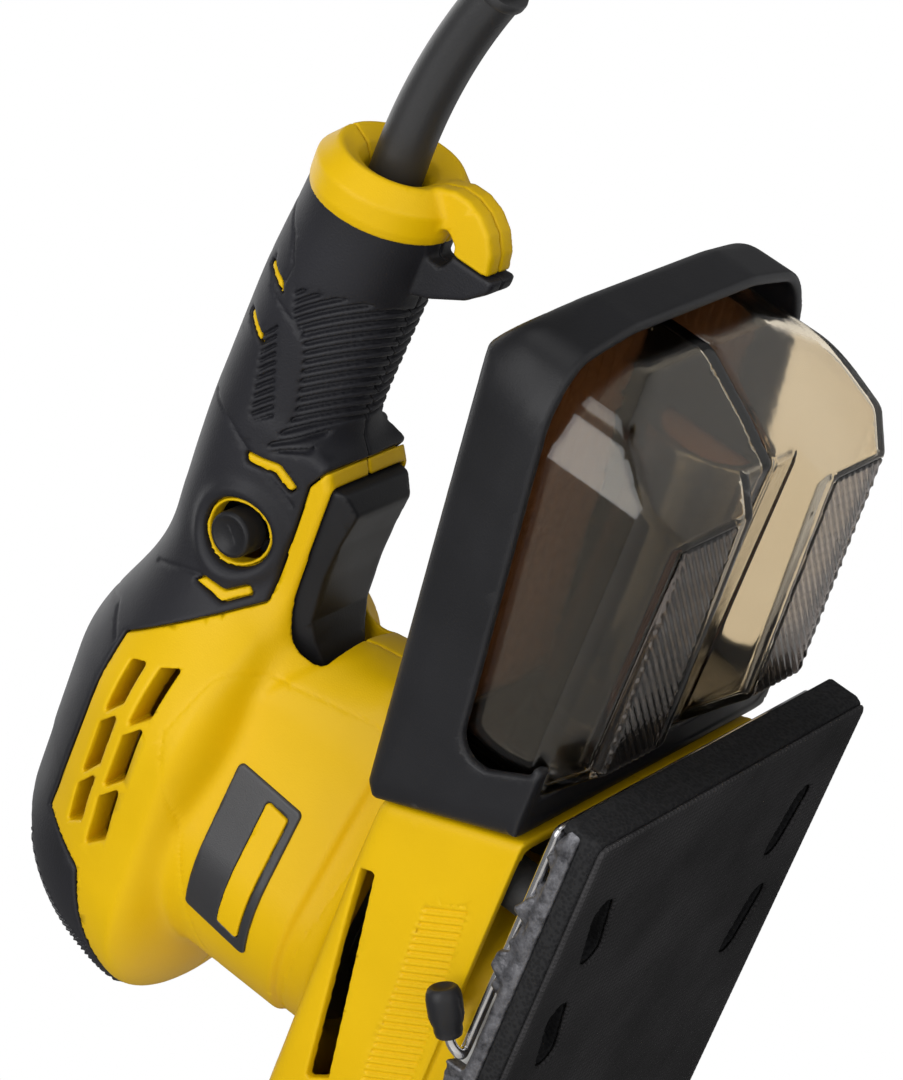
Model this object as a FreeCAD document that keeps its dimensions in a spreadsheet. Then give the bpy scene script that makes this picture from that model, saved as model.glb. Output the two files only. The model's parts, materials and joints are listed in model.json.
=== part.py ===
"""Corded orbital sheet sander with a rear handle and a clear dust canister.

Frame: millimetres, +Z up.  The origin is where the motor spindle's axis meets
the underside of the sanding pad.  +X points to the tail of the handle, where
the cord leaves, and -Y is the tool's left side.
"""
import FreeCAD, Part
import math
import os
import re
import Sketcher

Vector = FreeCAD.Vector
Rotation = FreeCAD.Rotation

# ---------------------------------------------------------------- driving sizes
SIZES = {
    # sanding base
    "pad_long": 187, "pad_wide": 92, "pad_rear": 76,
    "hook_thick": 1, "foam_thick": 4, "plate_thick": 3,
    "edge_wall": 1.6, "edge_tall": 2.4, "lug_long": 7, "lug_tall": 2.2, "lug_step": 17,
    "slot_long": 17, "slot_wide": 6.5, "slot_side": 33, "slot_turn": 14,
    # eccentric drive
    "orbit_offset": 1, "hub_radius": 15, "hub_top": 18.5,
    "bearing_outer": 11, "bearing_bore": 4.05, "bearing_thick": 7, "bearing_low": 9.5,
    "clip_thick": 1.2, "clip_inner": 8.7,
    "pin_radius": 4, "pin_screw": 2, "counter_low": 20, "counter_tall": 8, "counter_radius": 21,
    "shaft_radius": 4, "shaft_end_radius": 2.5, "shaft_step": 103, "shaft_top": 110,
    "bracket_low": 29.5, "bracket_plate": 2, "bracket_radius": 24.4, "bracket_boss": 13.5,
    "fan_low": 40, "fan_plate": 1.4, "fan_radius": 22.4, "fan_blade": 7,
    "core_low": 54, "core_tall": 28, "core_radius": 13.4,
    "field_inner": 14.2, "field_outer": 24.4, "commutator_low": 91, "commutator_tall": 11,
    "commutator_radius": 8.2, "brush_gap": 0.1, "brush_long": 9, "brush_side": 5,
    "top_bearing_low": 104, "top_bearing_tall": 5, "top_bearing_outer": 8,
    "top_bearing_bore": 2.55,
    # housing
    "wall": 2.5, "skirt_half": 40.8, "skirt_low": 17.5, "skirt_front": 66,
    "body_radius": 27, "body_back_radius": 18, "body_back": 31, "body_low": 38,
    "head_x": 1.9, "head_z": 97, "head_stretch": 31.3, "head_half": 33.5, "head_tall": 41.6,
    "handle_z": 112.4, "handle_radius": 16.5, "tail_radius": 13.8,
    "tail_core": 9.6, "taper_start": 92, "taper_end": 118, "ring_start": 135, "ring_end": 143,
    "ring_radius": 15.5, "mouth_radius": 13, "cord_hole": 6.1, "grip_thick": 1.5,
    "hook_half": 4, "grip_cap_z": 117, "guard_x": 41, "guard_z": 91.5, "post_radius": 5, "post_top": 25,
    "post_x": 48, "post_y": 31, "screw_radius": 1.5, "screw_head": 3, "boss_radius": 3.9,
    # trigger and lock button
    "trigger_half": 6.5, "pivot_x": 45.5, "pivot_z": 98, "pivot_radius": 1.5,
    "lock_x": 63.3, "lock_z": 109, "lock_radius": 5,
    "switch_long": 22, "switch_half": 5.5, "switch_tall": 17, "switch_x": 56,
    # dust canister
    "lid_half": 44, "lid_wall": 2.2, "lid_chamfer": 6, "bin_half": 41, "bin_wall": 1.8,
    "leg_outer": 34, "leg_inner": 16, "duct_radius": 12, "duct_z": 33, "tube_radius": 11,
    "tube_wall": 1.2, "lid_rear": 153.5, "bin_rear": 147.5,
    # paper clamps
    "wire_radius": 1, "wire_side": 43.2, "wire_z": 10.6, "knob_radius": 3.4, "knob_long": 10,
    "knob_place": 26,
    # cord
    "cord_radius": 3.3, "relief_start_radius": 5.9, "relief_end_radius": 4.7,
    "relief_bend": 115, "relief_turn": 20, "coil_radius": 38, "coil_half": 10, "coil_tall": 19,
    "coil_x": 339, "coil_y": 22, "plug_long": 36, "plug_half": 11.5, "plug_tall": 14, "prong_radius": 2,
    "prong_long": 19, "prong_gap": 19,
}

doc = FreeCAD.newDocument("OrbitalSander")
sheet = doc.addObject("Spreadsheet::Sheet", "Sizes")
for row, (alias, value) in enumerate(SIZES.items(), start=1):
    sheet.set(f"A{row}", alias)
    sheet.set(f"B{row}", str(value))
    sheet.setAlias(f"B{row}", alias)
doc.recompute()


# ---------------------------------------------------------------- building blocks
ALONG = {
    "z": Rotation(),
    "x": Rotation(Vector(0, 1, 0), 90),
    "y": Rotation(Vector(1, 0, 0), -90),
}
parts = {}


def cells(text):
    """An expression in the sheet's aliases, with every alias pointed at its cell."""
    return re.sub(r"\b[a-z]+_[a-z_]+\b|\bwall\b", lambda word: "Sizes." + word.group(), str(text))


def bind(obj, **expressions):
    """Bind properties to expressions; an underscore in a name stands for a dot."""
    for name, text in expressions.items():
        obj.setExpression(name.replace("_", "."), cells(text))
    return obj


def place(obj, x=0, y=0, z=0, turn=None):
    """Give an object its position from the sheet, after its constant rotation."""
    if turn is not None:
        obj.Placement = FreeCAD.Placement(Vector(), turn)
    return bind(obj, Placement_Base_x=x, Placement_Base_y=y, Placement_Base_z=z)


def box(name, long, wide, tall, x, y, z, turn=None):
    """A box with its lowest corner at x, y, z."""
    block = doc.addObject("Part::Box", name)
    bind(block, Length=long, Width=wide, Height=tall)
    return place(block, x, y, z, turn)


def bar(name, long, half, tall, x, z):
    """A box that is symmetric about the tool's middle plane."""
    return box(name, long, f"2 * ({half})", tall, x, f"-({half})", z)


def rod(name, radius, long, x=0, y=0, z=0, along="z"):
    """A cylinder that starts at x, y, z and runs along one axis."""
    cylinder = doc.addObject("Part::Cylinder", name)
    bind(cylinder, Radius=radius, Height=long)
    return place(cylinder, x, y, z, ALONG[along])


def fuse(name, pieces):
    joined = doc.addObject("Part::MultiFuse", name)
    joined.Shapes = pieces
    return joined


def common(name, pieces):
    shared = doc.addObject("Part::MultiCommon", name)
    shared.Shapes = pieces
    return shared


def cut(name, base, tools):
    """The base less one tool or a list of tools."""
    remainder = doc.addObject("Part::Cut", name)
    remainder.Base = base
    remainder.Tool = tools[0] if len(tools) == 1 else fuse(name + "_tools", tools)
    return remainder


def pipe(name, outer, inner, long, x=0, y=0, z=0, along="z"):
    """A plain tube or ring."""
    shell = rod(name + "_outside", outer, long, x, y, z, along)
    hole = rod(name + "_inside", inner, long, x, y, z, along)
    return cut(name, shell, [hole])


def outline(body, role, points):
    """A closed polygon sketched on one of the body's origin planes."""
    sketch = body.newObject("Sketcher::SketchObject", body.Name + "_outline")
    plane = [item for item in body.Origin.OriginFeatures if item.Role == role][0]
    sketch.AttachmentSupport = [(plane, "")]
    sketch.MapMode = "FlatFace"
    count = len(points)
    spread = 10
    corners = [Vector(spread * math.cos(2 * math.pi * i / count),
                      spread * math.sin(2 * math.pi * i / count), 0) for i in range(count)]
    for i in range(count):
        sketch.addGeometry(Part.LineSegment(corners[i], corners[(i + 1) % count]), False)
    for i in range(count):
        sketch.addConstraint(Sketcher.Constraint("Coincident", i, 2, (i + 1) % count, 1))
    for i, point in enumerate(points):
        for kind, text in zip(("DistanceX", "DistanceY"), point):
            index = sketch.addConstraint(Sketcher.Constraint(kind, -1, 1, i, 1, 1.0))
            sketch.setExpression(f"Constraints[{index}]", cells(text))
    return sketch


def prism(name, role, points, thickness):
    """A polygon padded to both sides of its plane."""
    body = doc.addObject("PartDesign::Body", name)
    pad = body.newObject("PartDesign::Pad", name + "_pad")
    pad.Profile = outline(body, role, points)
    pad.Midplane = True
    bind(pad, Length=thickness)
    return body


def turned(name, points, x=0, y=0, z=0, along="z"):
    """A profile of radius and height points, turned about its axis."""
    body = doc.addObject("PartDesign::Body", name)
    spin = body.newObject("PartDesign::Revolution", name + "_turn")
    profile = outline(body, "XZ_Plane", points)
    spin.Profile = profile
    spin.ReferenceAxis = (profile, ["V_Axis"])
    spin.Angle = 360
    return place(body, x, y, z, ALONG[along])


def keep(label, obj):
    """Name a finished sub-part; its label is its file's name."""
    obj.Label = label
    parts[label] = obj
    return obj


def keep_shape(label, shape):
    """A sub-part whose shape is worked out with Part's own functions."""
    obj = doc.addObject("Part::Feature", label + "_solid")
    obj.Shape = shape
    return keep(label, obj)


def value(alias):
    return float(sheet.get(alias))


# ---------------------------------------------------------------- sanding base
PAD_FRONT = "pad_rear - pad_long"
PLATE_LOW = "hook_thick + foam_thick"
PLATE_TOP = "hook_thick + foam_thick + plate_thick"
PAD_MIDDLE = "pad_rear - pad_long / 2"
POST_PLACES = (("rear", "left", "post_x", "-post_y"), ("rear", "right", "post_x", "post_y"),
               ("front", "left", "4 - post_x", "2 - post_y"), ("front", "right", "4 - post_x", "post_y - 2"))


def dust_slots():
    """Round-ended cutters, two in each corner of the pad, toed in to the ends."""
    cutters = []
    reach = value("slot_long") / 2 - value("slot_wide") / 2
    for end in (1, -1):
        for pair, from_end in enumerate(("24.5", "49.5")):
            for side in (1, -1):
                name = f"slot_{'rear' if end > 0 else 'front'}_{pair}_{'right' if side > 0 else 'left'}"
                x = f"{PAD_MIDDLE} + {end} * (pad_long / 2 - {from_end})"
                y = f"{side} * slot_side"
                turn = math.radians(value("slot_turn")) * end * side
                dx = round(reach * math.cos(turn), 4)
                dy = round(reach * math.sin(turn), 4)
                ends = [rod(f"{name}_end_{sign}", "slot_wide / 2", "30", f"{x} + {sign} * {dx}",
                            f"{y} + {sign} * {dy}", "-5") for sign in (1, -1)]
                middle = doc.addObject("Part::Box", name + "_middle")
                bind(middle, Length=f"2 * {reach}", Width="slot_wide", Height="30")
                half = value("slot_wide") / 2
                middle.Placement = FreeCAD.Placement(Vector(), Rotation(Vector(0, 0, 1), math.degrees(turn)))
                place(middle, f"{x} - {dx} + {round(half * math.sin(turn), 4)}",
                      f"{y} - {dy} - {round(half * math.cos(turn), 4)}", "-5")
                cutters += ends + [middle]
    return fuse("dust_slot_cutters", cutters)


def sanding_base():
    slots = dust_slots()
    sheet_block = bar("hook_block", "pad_long", "pad_wide / 2", "hook_thick", PAD_FRONT, "0")
    keep("hook_sheet", cut("hook_cut", sheet_block, [slots]))
    foam_block = bar("foam_block", "pad_long", "pad_wide / 2", "foam_thick", PAD_FRONT, "hook_thick")
    keep("foam_pad", cut("foam_cut", foam_block, [slots]))

    plate = bar("plate", "pad_long", "pad_wide / 2", "plate_thick", PAD_FRONT, PLATE_LOW)
    rim = cut("rim", bar("rim_outside", "pad_long", "pad_wide / 2", "edge_tall", PAD_FRONT, PLATE_TOP),
              [bar("rim_inside", "pad_long - 2 * edge_wall", "pad_wide / 2 - edge_wall", "edge_tall",
                   f"{PAD_FRONT} + edge_wall", PLATE_TOP)])
    lugs = []
    for i in range(11):
        for side, y in (("left", "-pad_wide / 2"), ("right", "pad_wide / 2 - edge_wall")):
            lugs.append(box(f"lug_{side}_{i}", "lug_long", "edge_wall", "lug_tall",
                            f"pad_rear - 8 - {i} * lug_step", y, f"{PLATE_TOP} + edge_tall"))
    hub = rod("hub", "hub_radius", f"hub_top - ({PLATE_TOP})", "orbit_offset", 0, PLATE_TOP)
    seat = rod("hub_seat", "bearing_outer", "20", "orbit_offset", 0, "bearing_low")
    screw_way = rod("hub_screw_way", "6", "20", "orbit_offset", 0, f"{PLATE_LOW} - 1")
    rear_notch = box("rear_knob_notch", "10", "6", "10", "17.5", "-pad_wide / 2 - 3", f"{PLATE_TOP}")
    front_notch = box("front_knob_notch", "10", "6", "10", f"2 * ({PAD_MIDDLE}) - 27.5",
                      "-pad_wide / 2 - 3", f"{PLATE_TOP}")
    ears = [box(f"ear_{end}_{side}", "4.4", "2.6", "4.8", x, y, PLATE_TOP)
            for end, x in (("rear", "pad_rear - 6.2"), ("front", f"{PAD_FRONT} + 1.8"))
            for side, y in (("left", "-40.4"), ("right", "37.8"))]
    wire_ways = [rod(f"wire_way_{end}", "wire_radius + 0.06", "100", x, "-50", "wire_z", "y")
                 for end, x in (("rear", "pad_rear - 4"), ("front", f"{PAD_FRONT} + 4"))]
    body = fuse("frame_body", [plate, rim, hub] + lugs + ears)
    keep("base_frame", cut("frame_cut", body, [slots, seat, screw_way, rear_notch, front_notch] + wire_ways))

    keep("base_bearing", pipe("ball_bearing", "bearing_outer", "bearing_bore", "bearing_thick",
                              "orbit_offset", 0, "bearing_low"))
    keep("bearing_clip", pipe("snap_ring", "bearing_outer", "clip_inner", "clip_thick",
                              "orbit_offset", 0, "bearing_low + bearing_thick"))


def suspension():
    """Rubber posts between the base frame and the housing's four sockets."""
    for end, side, x, y in POST_PLACES:
        name = f"suspension_post_{end}_{side}"
        keep(name, rod(name + "_rod", "post_radius", f"post_top - ({PLATE_TOP})", x, y, PLATE_TOP))


def clamp_wire(label, end, hinge_x, knob_x):
    """Spring-wire lever: a cross bar at the pad's end, an arm along the side and a raised tip."""
    side = value("wire_side")
    level = value("wire_z")
    radius = value("wire_radius")
    elbow = Vector(hinge_x, -side, level)
    far = Vector(hinge_x, side - 1.7, level)
    knee = Vector(knob_x - end * 7, -side, level)
    out = Vector(knob_x - end * 6, -side - 3, level)
    tip = Vector(knob_x + end * 3, -side - 3.6, level + 7)
    route = [far, elbow, knee, out, tip]
    solids = []
    for start, stop in zip(route, route[1:]):
        solids.append(Part.makeCylinder(radius, start.distanceToPoint(stop), start, stop - start))
    for corner in route[1:-1]:
        solids.append(Part.makeSphere(radius, corner))
    wire = solids[0].multiFuse(solids[1:]).removeSplitter()
    keep_shape(label, wire)
    return tip, tip - out


def paper_clamps():
    middle = value("pad_rear") - value("pad_long") / 2
    knob_x = value("knob_place")
    for end, name in ((1, "rear"), (-1, "front")):
        hinge_x = middle + end * (value("pad_long") / 2 - 4)
        wire_knob = knob_x if end > 0 else 2 * middle - knob_x
        tip, rise = clamp_wire(f"clamp_wire_{name}", end, hinge_x, wire_knob)
        knob = turned(f"knob_{name}_body", [("wire_radius", "0"), ("knob_radius * 0.72", "0"),
                                            ("knob_radius", "knob_long * 0.3"),
                                            ("knob_radius", "knob_long * 0.86"),
                                            ("knob_radius * 0.8", "knob_long"),
                                            ("0", "knob_long"), ("0", "4"), ("wire_radius", "4")])
        rise.normalize()
        start = tip - rise * 4
        place(knob, round(start.x, 4), round(start.y, 4), round(start.z, 4), Rotation(Vector(0, 0, 1), rise))
        keep(f"clamp_knob_{name}", knob)
        jaw_x = "pad_rear - 11" if end > 0 else f"{PAD_FRONT} + 5"
        jaw = bar(f"jaw_{name}_block", "6", "pad_wide / 2 - 10", "2.6", jaw_x, f"{PLATE_TOP} + 0.7")
        keep(f"clamp_jaw_{name}", jaw)


# ---------------------------------------------------------------- motor and drive
def drive():
    keep("eccentric", cut("eccentric_cut", fuse("eccentric_block", [
        rod("eccentric_pin", "pin_radius", "counter_low - bearing_low + 1.3", "orbit_offset", 0,
            "bearing_low - 0.3"),
        rod("eccentric_hub", "9", "counter_tall", 0, 0, "counter_low"),
        common("counterweight", [
            rod("counter_disc", "counter_radius", "counter_tall", 0, 0, "counter_low"),
            box("counter_half", "30", "60", "30", "-30", "-30", "counter_low - 1")])]), [
        rod("eccentric_bore", "shaft_radius", "counter_tall", 0, 0, "counter_low + 2.5"),
        rod("pin_thread", "pin_screw", "7.5", "orbit_offset", 0, "bearing_low - 0.5")]))
    keep("spindle_screw", fuse("spindle_screw_body", [
        rod("spindle_screw_head", "4.6", "2.2", "orbit_offset", 0, "bearing_low - 2.5"),
        rod("spindle_screw_shank", "pin_screw", "7", "orbit_offset", 0, "bearing_low - 0.3")]))
    shaft_low = "counter_low + 2.5"
    keep("motor_shaft", fuse("shaft_body", [
        rod("shaft_main", "shaft_radius", f"shaft_step - ({shaft_low})", 0, 0, shaft_low),
        rod("shaft_end", "shaft_end_radius", "shaft_top - shaft_step", 0, 0, "shaft_step")]))

    blades = []
    for i in range(11):
        angle = 360 * i / 11
        blade = doc.addObject("Part::Box", f"fan_blade_{i}")
        bind(blade, Length="fan_radius - 9.5", Width="1.2", Height="fan_blade")
        turn = Rotation(Vector(0, 0, 1), angle)
        corner = turn.multVec(Vector(8.5, -0.6, 0))
        place(blade, round(corner.x, 4), round(corner.y, 4), "fan_low + fan_plate", turn)
        blades.append(blade)
    keep("cooling_fan", cut("fan_cut", fuse("fan_body", [
        rod("fan_disc", "fan_radius", "fan_plate", 0, 0, "fan_low"),
        rod("fan_boss", "9", "fan_plate + fan_blade", 0, 0, "fan_low")] + blades),
        [rod("fan_bore", "shaft_radius", "20", 0, 0, "fan_low - 5")]))
    keep("armature_core", pipe("core", "core_radius", "shaft_radius", "core_tall", 0, 0, "core_low"))
    keep("commutator", pipe("segments", "commutator_radius", "shaft_radius", "commutator_tall",
                            0, 0, "commutator_low"))

    keep("motor_field", pipe("field", "field_outer", "field_inner", "core_tall", 0, 0, "core_low"))
    brush_z = "commutator_low + 2"
    for name, side in (("left", -1), ("right", 1)):
        start = "commutator_radius + brush_gap"
        low = f"-({start}) - brush_long" if side < 0 else start
        keep(f"carbon_brush_{name}", box(f"brush_{name}", "brush_side", "brush_long", "brush_side",
                                         "-brush_side / 2", low, brush_z))
        sleeve = box(f"sleeve_{name}", "brush_side + 3", "brush_long + 4", "brush_side + 3",
                     "-brush_side / 2 - 1.5",
                     f"-({start}) - brush_long - 6" if side < 0 else f"{start} + 2", f"{brush_z} - 1.5")
        keep(f"brush_holder_{name}", cut(f"holder_{name}", sleeve, [
            box(f"sleeve_{name}_way", "brush_side", "brush_long + 0.01", "brush_side",
                "-brush_side / 2", low, brush_z)]))

    keep("bearing_bracket", cut("bracket_cut", fuse("bracket_body", [
        rod("bracket_disc", "bracket_radius", "bracket_plate", 0, 0, "bracket_low"),
        rod("bracket_ring", "bracket_boss", "bracket_plate + bearing_thick", 0, 0, "bracket_low")]), [
        rod("bracket_seat", "bearing_outer", "bearing_thick", 0, 0, "bracket_low + bracket_plate"),
        rod("bracket_way", "6", "10", 0, 0, "bracket_low - 1")]))
    keep("lower_bearing", pipe("lower_ball", "bearing_outer", "bearing_bore", "bearing_thick",
                               0, 0, "bracket_low + bracket_plate"))
    keep("upper_bearing", pipe("upper_ball", "top_bearing_outer", "top_bearing_bore",
                               "top_bearing_tall", 0, 0, "top_bearing_low"))


# ---------------------------------------------------------------- housing
def skirt(name, shrink):
    """The wide lower box: sloping shoulders, cut corners in front, leaning back face."""
    side = prism(name + "_side", "XZ_Plane", [
        (f"-skirt_front + {shrink}", f"skirt_low - {shrink} * 2"),
        (f"63 - {shrink} * 0.26", f"skirt_low - {shrink} * 2"),
        (f"50 - {shrink} * 1.1", f"48.5 - {shrink}"), ("30", f"53 - {shrink}"),
        ("-36", f"50 - {shrink}"), (f"-skirt_front + {shrink}", f"37 - {shrink}")], "200")
    front = prism(name + "_section", "YZ_Plane", [
        (f"-skirt_half + {shrink}", "0"), (f"skirt_half - {shrink}", "0"),
        (f"skirt_half - {shrink}", f"41 - {shrink} * 0.5"), (f"28 - {shrink} * 0.7", f"52 - {shrink} * 0.7"),
        (f"-28 + {shrink} * 0.7", f"52 - {shrink} * 0.7"),
        (f"-skirt_half + {shrink}", f"41 - {shrink} * 0.5")], "200")
    plan = prism(name + "_plan", "XY_Plane", [
        ("80", f"-skirt_half + {shrink}"), ("80", f"skirt_half - {shrink}"),
        (f"-skirt_front + 20", f"skirt_half - {shrink}"),
        (f"-skirt_front + {shrink}", f"skirt_half - 17 - {shrink} * 0.5"),
        (f"-skirt_front + {shrink}", f"-skirt_half + 17 + {shrink} * 0.5"),
        (f"-skirt_front + 20", f"-skirt_half + {shrink}")], "200")
    return common(name, [side, front, plan])


def motor_body(name, shrink, low):
    """Upright oval that carries the motor, narrower behind than in front."""
    front = rod(name + "_front", f"body_radius - {shrink}", "100", 0, 0, 0)
    back = rod(name + "_back", f"body_back_radius - {shrink}", "100", "body_back", 0, 0)
    slope = math.asin((value("body_radius") - value("body_back_radius")) / value("body_back"))
    lead, half = round(math.sin(slope), 5), round(math.cos(slope), 5)
    between = prism(name + "_between", "XY_Plane", [
        (f"(body_radius - {shrink}) * {lead}", f"-(body_radius - {shrink}) * {half}"),
        (f"body_back + (body_back_radius - {shrink}) * {lead}", f"-(body_back_radius - {shrink}) * {half}"),
        (f"body_back + (body_back_radius - {shrink}) * {lead}", f"(body_back_radius - {shrink}) * {half}"),
        (f"(body_radius - {shrink}) * {lead}", f"(body_radius - {shrink}) * {half}")], "200")
    zone = box(name + "_zone", "200", "200", f"100 - ({low})", "-100", "-100", low)
    return common(name, [fuse(name + "_oval", [front, back, between]), zone])


def handle(name, shrink, stop="ring_start"):
    """Grip bar: straight, then tapering to a waist before the tail ring."""
    return turned(name, [("0", "0"), (f"handle_radius - {shrink}", "0"),
                         (f"handle_radius - {shrink}", "taper_start"),
                         (f"tail_radius - {shrink}", "taper_end"),
                         (f"tail_radius - {shrink}", stop), ("0", stop)], 0, 0, "handle_z", "x")


def head(name, shrink):
    """Rounded cap over the motor: a turned profile stretched along the tool."""
    profile = [("0", f"head_tall - {shrink}"), (f"12 - {shrink} * 0.3", f"head_tall - 2.6 - {shrink} * 0.95"),
               (f"21 - {shrink} * 0.6", f"head_tall - 9 - {shrink} * 0.8"),
               (f"28 - {shrink} * 0.8", f"head_tall - 19 - {shrink} * 0.6"),
               (f"32 - {shrink}", f"10 - {shrink} * 0.3"), (f"head_half - {shrink}", "0"),
               (f"head_half - 2.5 - {shrink}", "-6"), (f"26 - {shrink} * 0.7", f"-10 + {shrink}"),
               ("0", f"-10 + {shrink}")]
    middle = [(f"-({radius})", level) for radius, level in profile[1:-1]][::-1] + profile[1:-1]
    stretch = prism(name + "_stretch", "YZ_Plane", middle, "head_stretch")
    place(stretch, "head_x", 0, "head_z")
    return fuse(name, [stretch, turned(name + "_nose", profile, "head_x - head_stretch / 2", 0, "head_z"),
                       turned(name + "_back", profile, "head_x + head_stretch / 2", 0, "head_z")])


def upper_body(name, shrink, stop="ring_start"):
    """Rounded head over the motor, with the handle bar behind it."""
    return fuse(name, [head(name + "_head", shrink), handle(name + "_handle", shrink, stop)])


def neck(name, shrink):
    """Web between the back of the motor body and the underside of the handle."""
    return prism(name, "XZ_Plane", [
        ("20", "54"), (f"50 - {shrink}", "56"), (f"56 - {shrink}", f"70 - {shrink} * 0.5"),
        (f"46 - {shrink}", f"83.5 - {shrink} * 0.5"), (f"44.5 - {shrink}", "92"),
        (f"52 - {shrink}", "104"), ("20", "104")], f"2 * (11 - {shrink})")


def guard(name):
    """Hard rim along the underside of the handle, round the trigger's opening."""
    return bar(name, "43", "9", "8", "guard_x", "guard_z")


def tail_ring(name):
    """Ring with a dished mouth round the cord, and the hanging hook below it."""
    ring = turned(name + "_ring", [
        ("cord_hole", "0"), ("ring_radius", "0"), ("ring_radius", "ring_end - ring_start"),
        ("mouth_radius", "ring_end - ring_start"), ("cord_hole + 1", "2.5"), ("cord_hole", "2")],
        "ring_start", 0, "handle_z", "x")
    hook = prism(name + "_hook", "XZ_Plane", [
        ("124.5", "99.5"), ("121.5", "97.5"), ("124.5", "90"), ("127.5", "87.8"), ("135", "87"),
        ("139.5", "88.6"), ("142", "92"), ("143", "99.5")], "2 * hook_half")
    eye = prism(name + "_eye", "XZ_Plane", [
        ("130.2", "90.6"), ("133.4", "90.2"), ("135.6", "91.6"), ("135.6", "96.6"), ("129.8", "96.6"),
        ("129.2", "92")], "40")
    return cut(name, fuse(name + "_whole", [ring, hook]), [eye])


def side_vents(name):
    """Two upright rows of three slanting air slots on each side of the head."""
    slots = []
    for column, x in enumerate(("2", "20")):
        for level in range(3):
            for side, y in (("left", "-60"), ("right", "20")):
                slots.append(box(f"{name}_{column}_{level}_{side}", "12", "40", "4.2", f"{x} - {level} * 2",
                                 y, f"99.5 + {level} * 6"))
    return slots


SCREW_PLACES = (("-58", "30"), ("-22", "92"), ("40", "68"), ("86", "handle_z + 7.4"),
                ("112", "handle_z - 7.4"))


def screw_bosses(radius, name, low_y, high_y):
    return [rod(f"{name}_{i}", radius, f"{high_y} - ({low_y})", x, low_y, z, "y")
            for i, (x, z) in enumerate(SCREW_PLACES)]


def screw_pockets(name):
    return fuse(name, [rod(f"{name}_{i}", "screw_head", "60", x, "8", z, "y")
                       for i, (x, z) in enumerate(SCREW_PLACES)])


def housing():
    outside = fuse("outer_form", [
        skirt("skirt_form", "0"), motor_body("body_form", "0", "body_low"), upper_body("upper_form", "0"),
        neck("neck_form", "0"), tail_ring("tail"),
        guard("guard")])
    lock_recess = rod("lock_recess", "lock_radius + 1.2", "14", "lock_x", "-20", "lock_z", "y")
    trigger_way = bar("trigger_way", "42.5", "trigger_half + 0.6", "24.5", "39.5", "78")
    grip = cut("grip_layer", common("grip_skin", [
        cut("grip_skin_all", upper_body("grip_outside", "0"), [upper_body("grip_inside", "grip_thick")]),
        grip_zone("grip_zone")]), [guard("guard_space"), lock_recess])

    inside = fuse("inner_form", [
        skirt("skirt_space", "wall"), motor_body("body_space", "wall", "20"),
        upper_body("upper_space", "(grip_thick + wall)", "ring_start - 4"), neck("neck_space", "wall")])
    bell_wall = cut("bell_wall", prism("bell_outside", "XY_Plane", bell_points("0"), "200"),
                    [prism("bell_inside", "XY_Plane", bell_points("2"), "220")])
    bell = common("bell", [bell_wall, bar("bell_zone", "160", "60", "22", "-80", "13.5")])
    bearing_rib = cut("bearing_rib", common("rib_form", [
        bar("rib_slab", "50", "50", "top_bearing_tall + 1", "-25", "top_bearing_low"),
        upper_body("rib_zone", "(grip_thick + 1)")]),
        [rod("rib_seat", "top_bearing_outer", "20", 0, 0, "top_bearing_low - 1")])
    shroud = pipe("fan_shroud", "body_radius", "bracket_radius", "24", 0, 0, "bracket_low - 0.5")
    deck = cut("deck", common("deck_form", [
        bar("deck_zone", "200", "60", "2.5", "-100", "34.5"), skirt("deck_outline", "1")]),
        [rod("deck_way", "body_radius - wall", "20", 0, 0, "25")])
    sockets = [cut(f"socket_{i}", common(f"socket_form_{i}", [
        rod(f"socket_body_{i}", "post_radius + 2", "36 - post_top + 3", x, y, "post_top - 3"),
        skirt(f"socket_zone_{i}", "1")]), [rod(f"socket_way_{i}", "post_radius", "4", x, y, "post_top - 4")])
               for i, (_, _, x, y) in enumerate(POST_PLACES)]
    boss_zone = fuse("boss_zone", [skirt("boss_skirt", "1"), motor_body("boss_body", "1", "body_low"),
                                   upper_body("boss_upper", "(grip_thick + 1)"), neck("boss_neck", "1")])
    bosses = common("bosses", [fuse("boss_rods", screw_bosses("boss_radius", "boss", "-60", "60")), boss_zone])
    shell = fuse("shell", [cut("hollow", outside, [inside]), bell, bearing_rib, shroud, deck, bosses]
                 + sockets)
    slots = [box(f"side_slot_{name}", "80", "14", "3", "-45", y, "43.5")
             for name, y in (("left", "-skirt_half - 5"), ("right", "skirt_half - 9"))]
    trims = [trigger_way, lock_recess,
             rod("pivot_socket", "pivot_radius", "18", "pivot_x", "-9", "pivot_z", "y"),
             rod("shaft_way", "shaft_radius + 1.5", "20", 0, 0, "93"),
             rod("duct_way", "duct_radius", "30", "40", 0, "duct_z", "x"),
             rod("cord_way", "cord_hole", "30", "ring_start - 10", 0, "handle_z", "x"),
             fuse("screw_threads", screw_bosses("screw_radius", "thread", "-8", "8")),
             screw_pockets("screw_pocket")]
    bare = cut("bare_shell", cut("shell_less_grip", shell, [grip_space()]), trims + slots + side_vents("vent"))
    for name, y in (("left", "-80"), ("right", "0")):
        half = box(f"half_{name}", "400", "80", "200", "-200", y, "0")
        keep(f"housing_{name}", common(f"housing_{name}_form", [bare, half]))
        keep(f"grip_{name}", common(f"grip_{name}_form", [
            cut(f"grip_{name}_vented", grip,
                side_vents(f"grip_vent_{name}") + [screw_pockets(f"grip_pocket_{name}")]), half]))
    keep("housing_screws", fuse("screws", [
        piece for i, (x, z) in enumerate(SCREW_PLACES) for piece in (
            rod(f"screw_{i}_shank", "screw_radius", "15.5", x, "-7.5", z, "y"),
            rod(f"screw_{i}_head", "screw_head", "2", x, "8", z, "y"))]))


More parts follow.
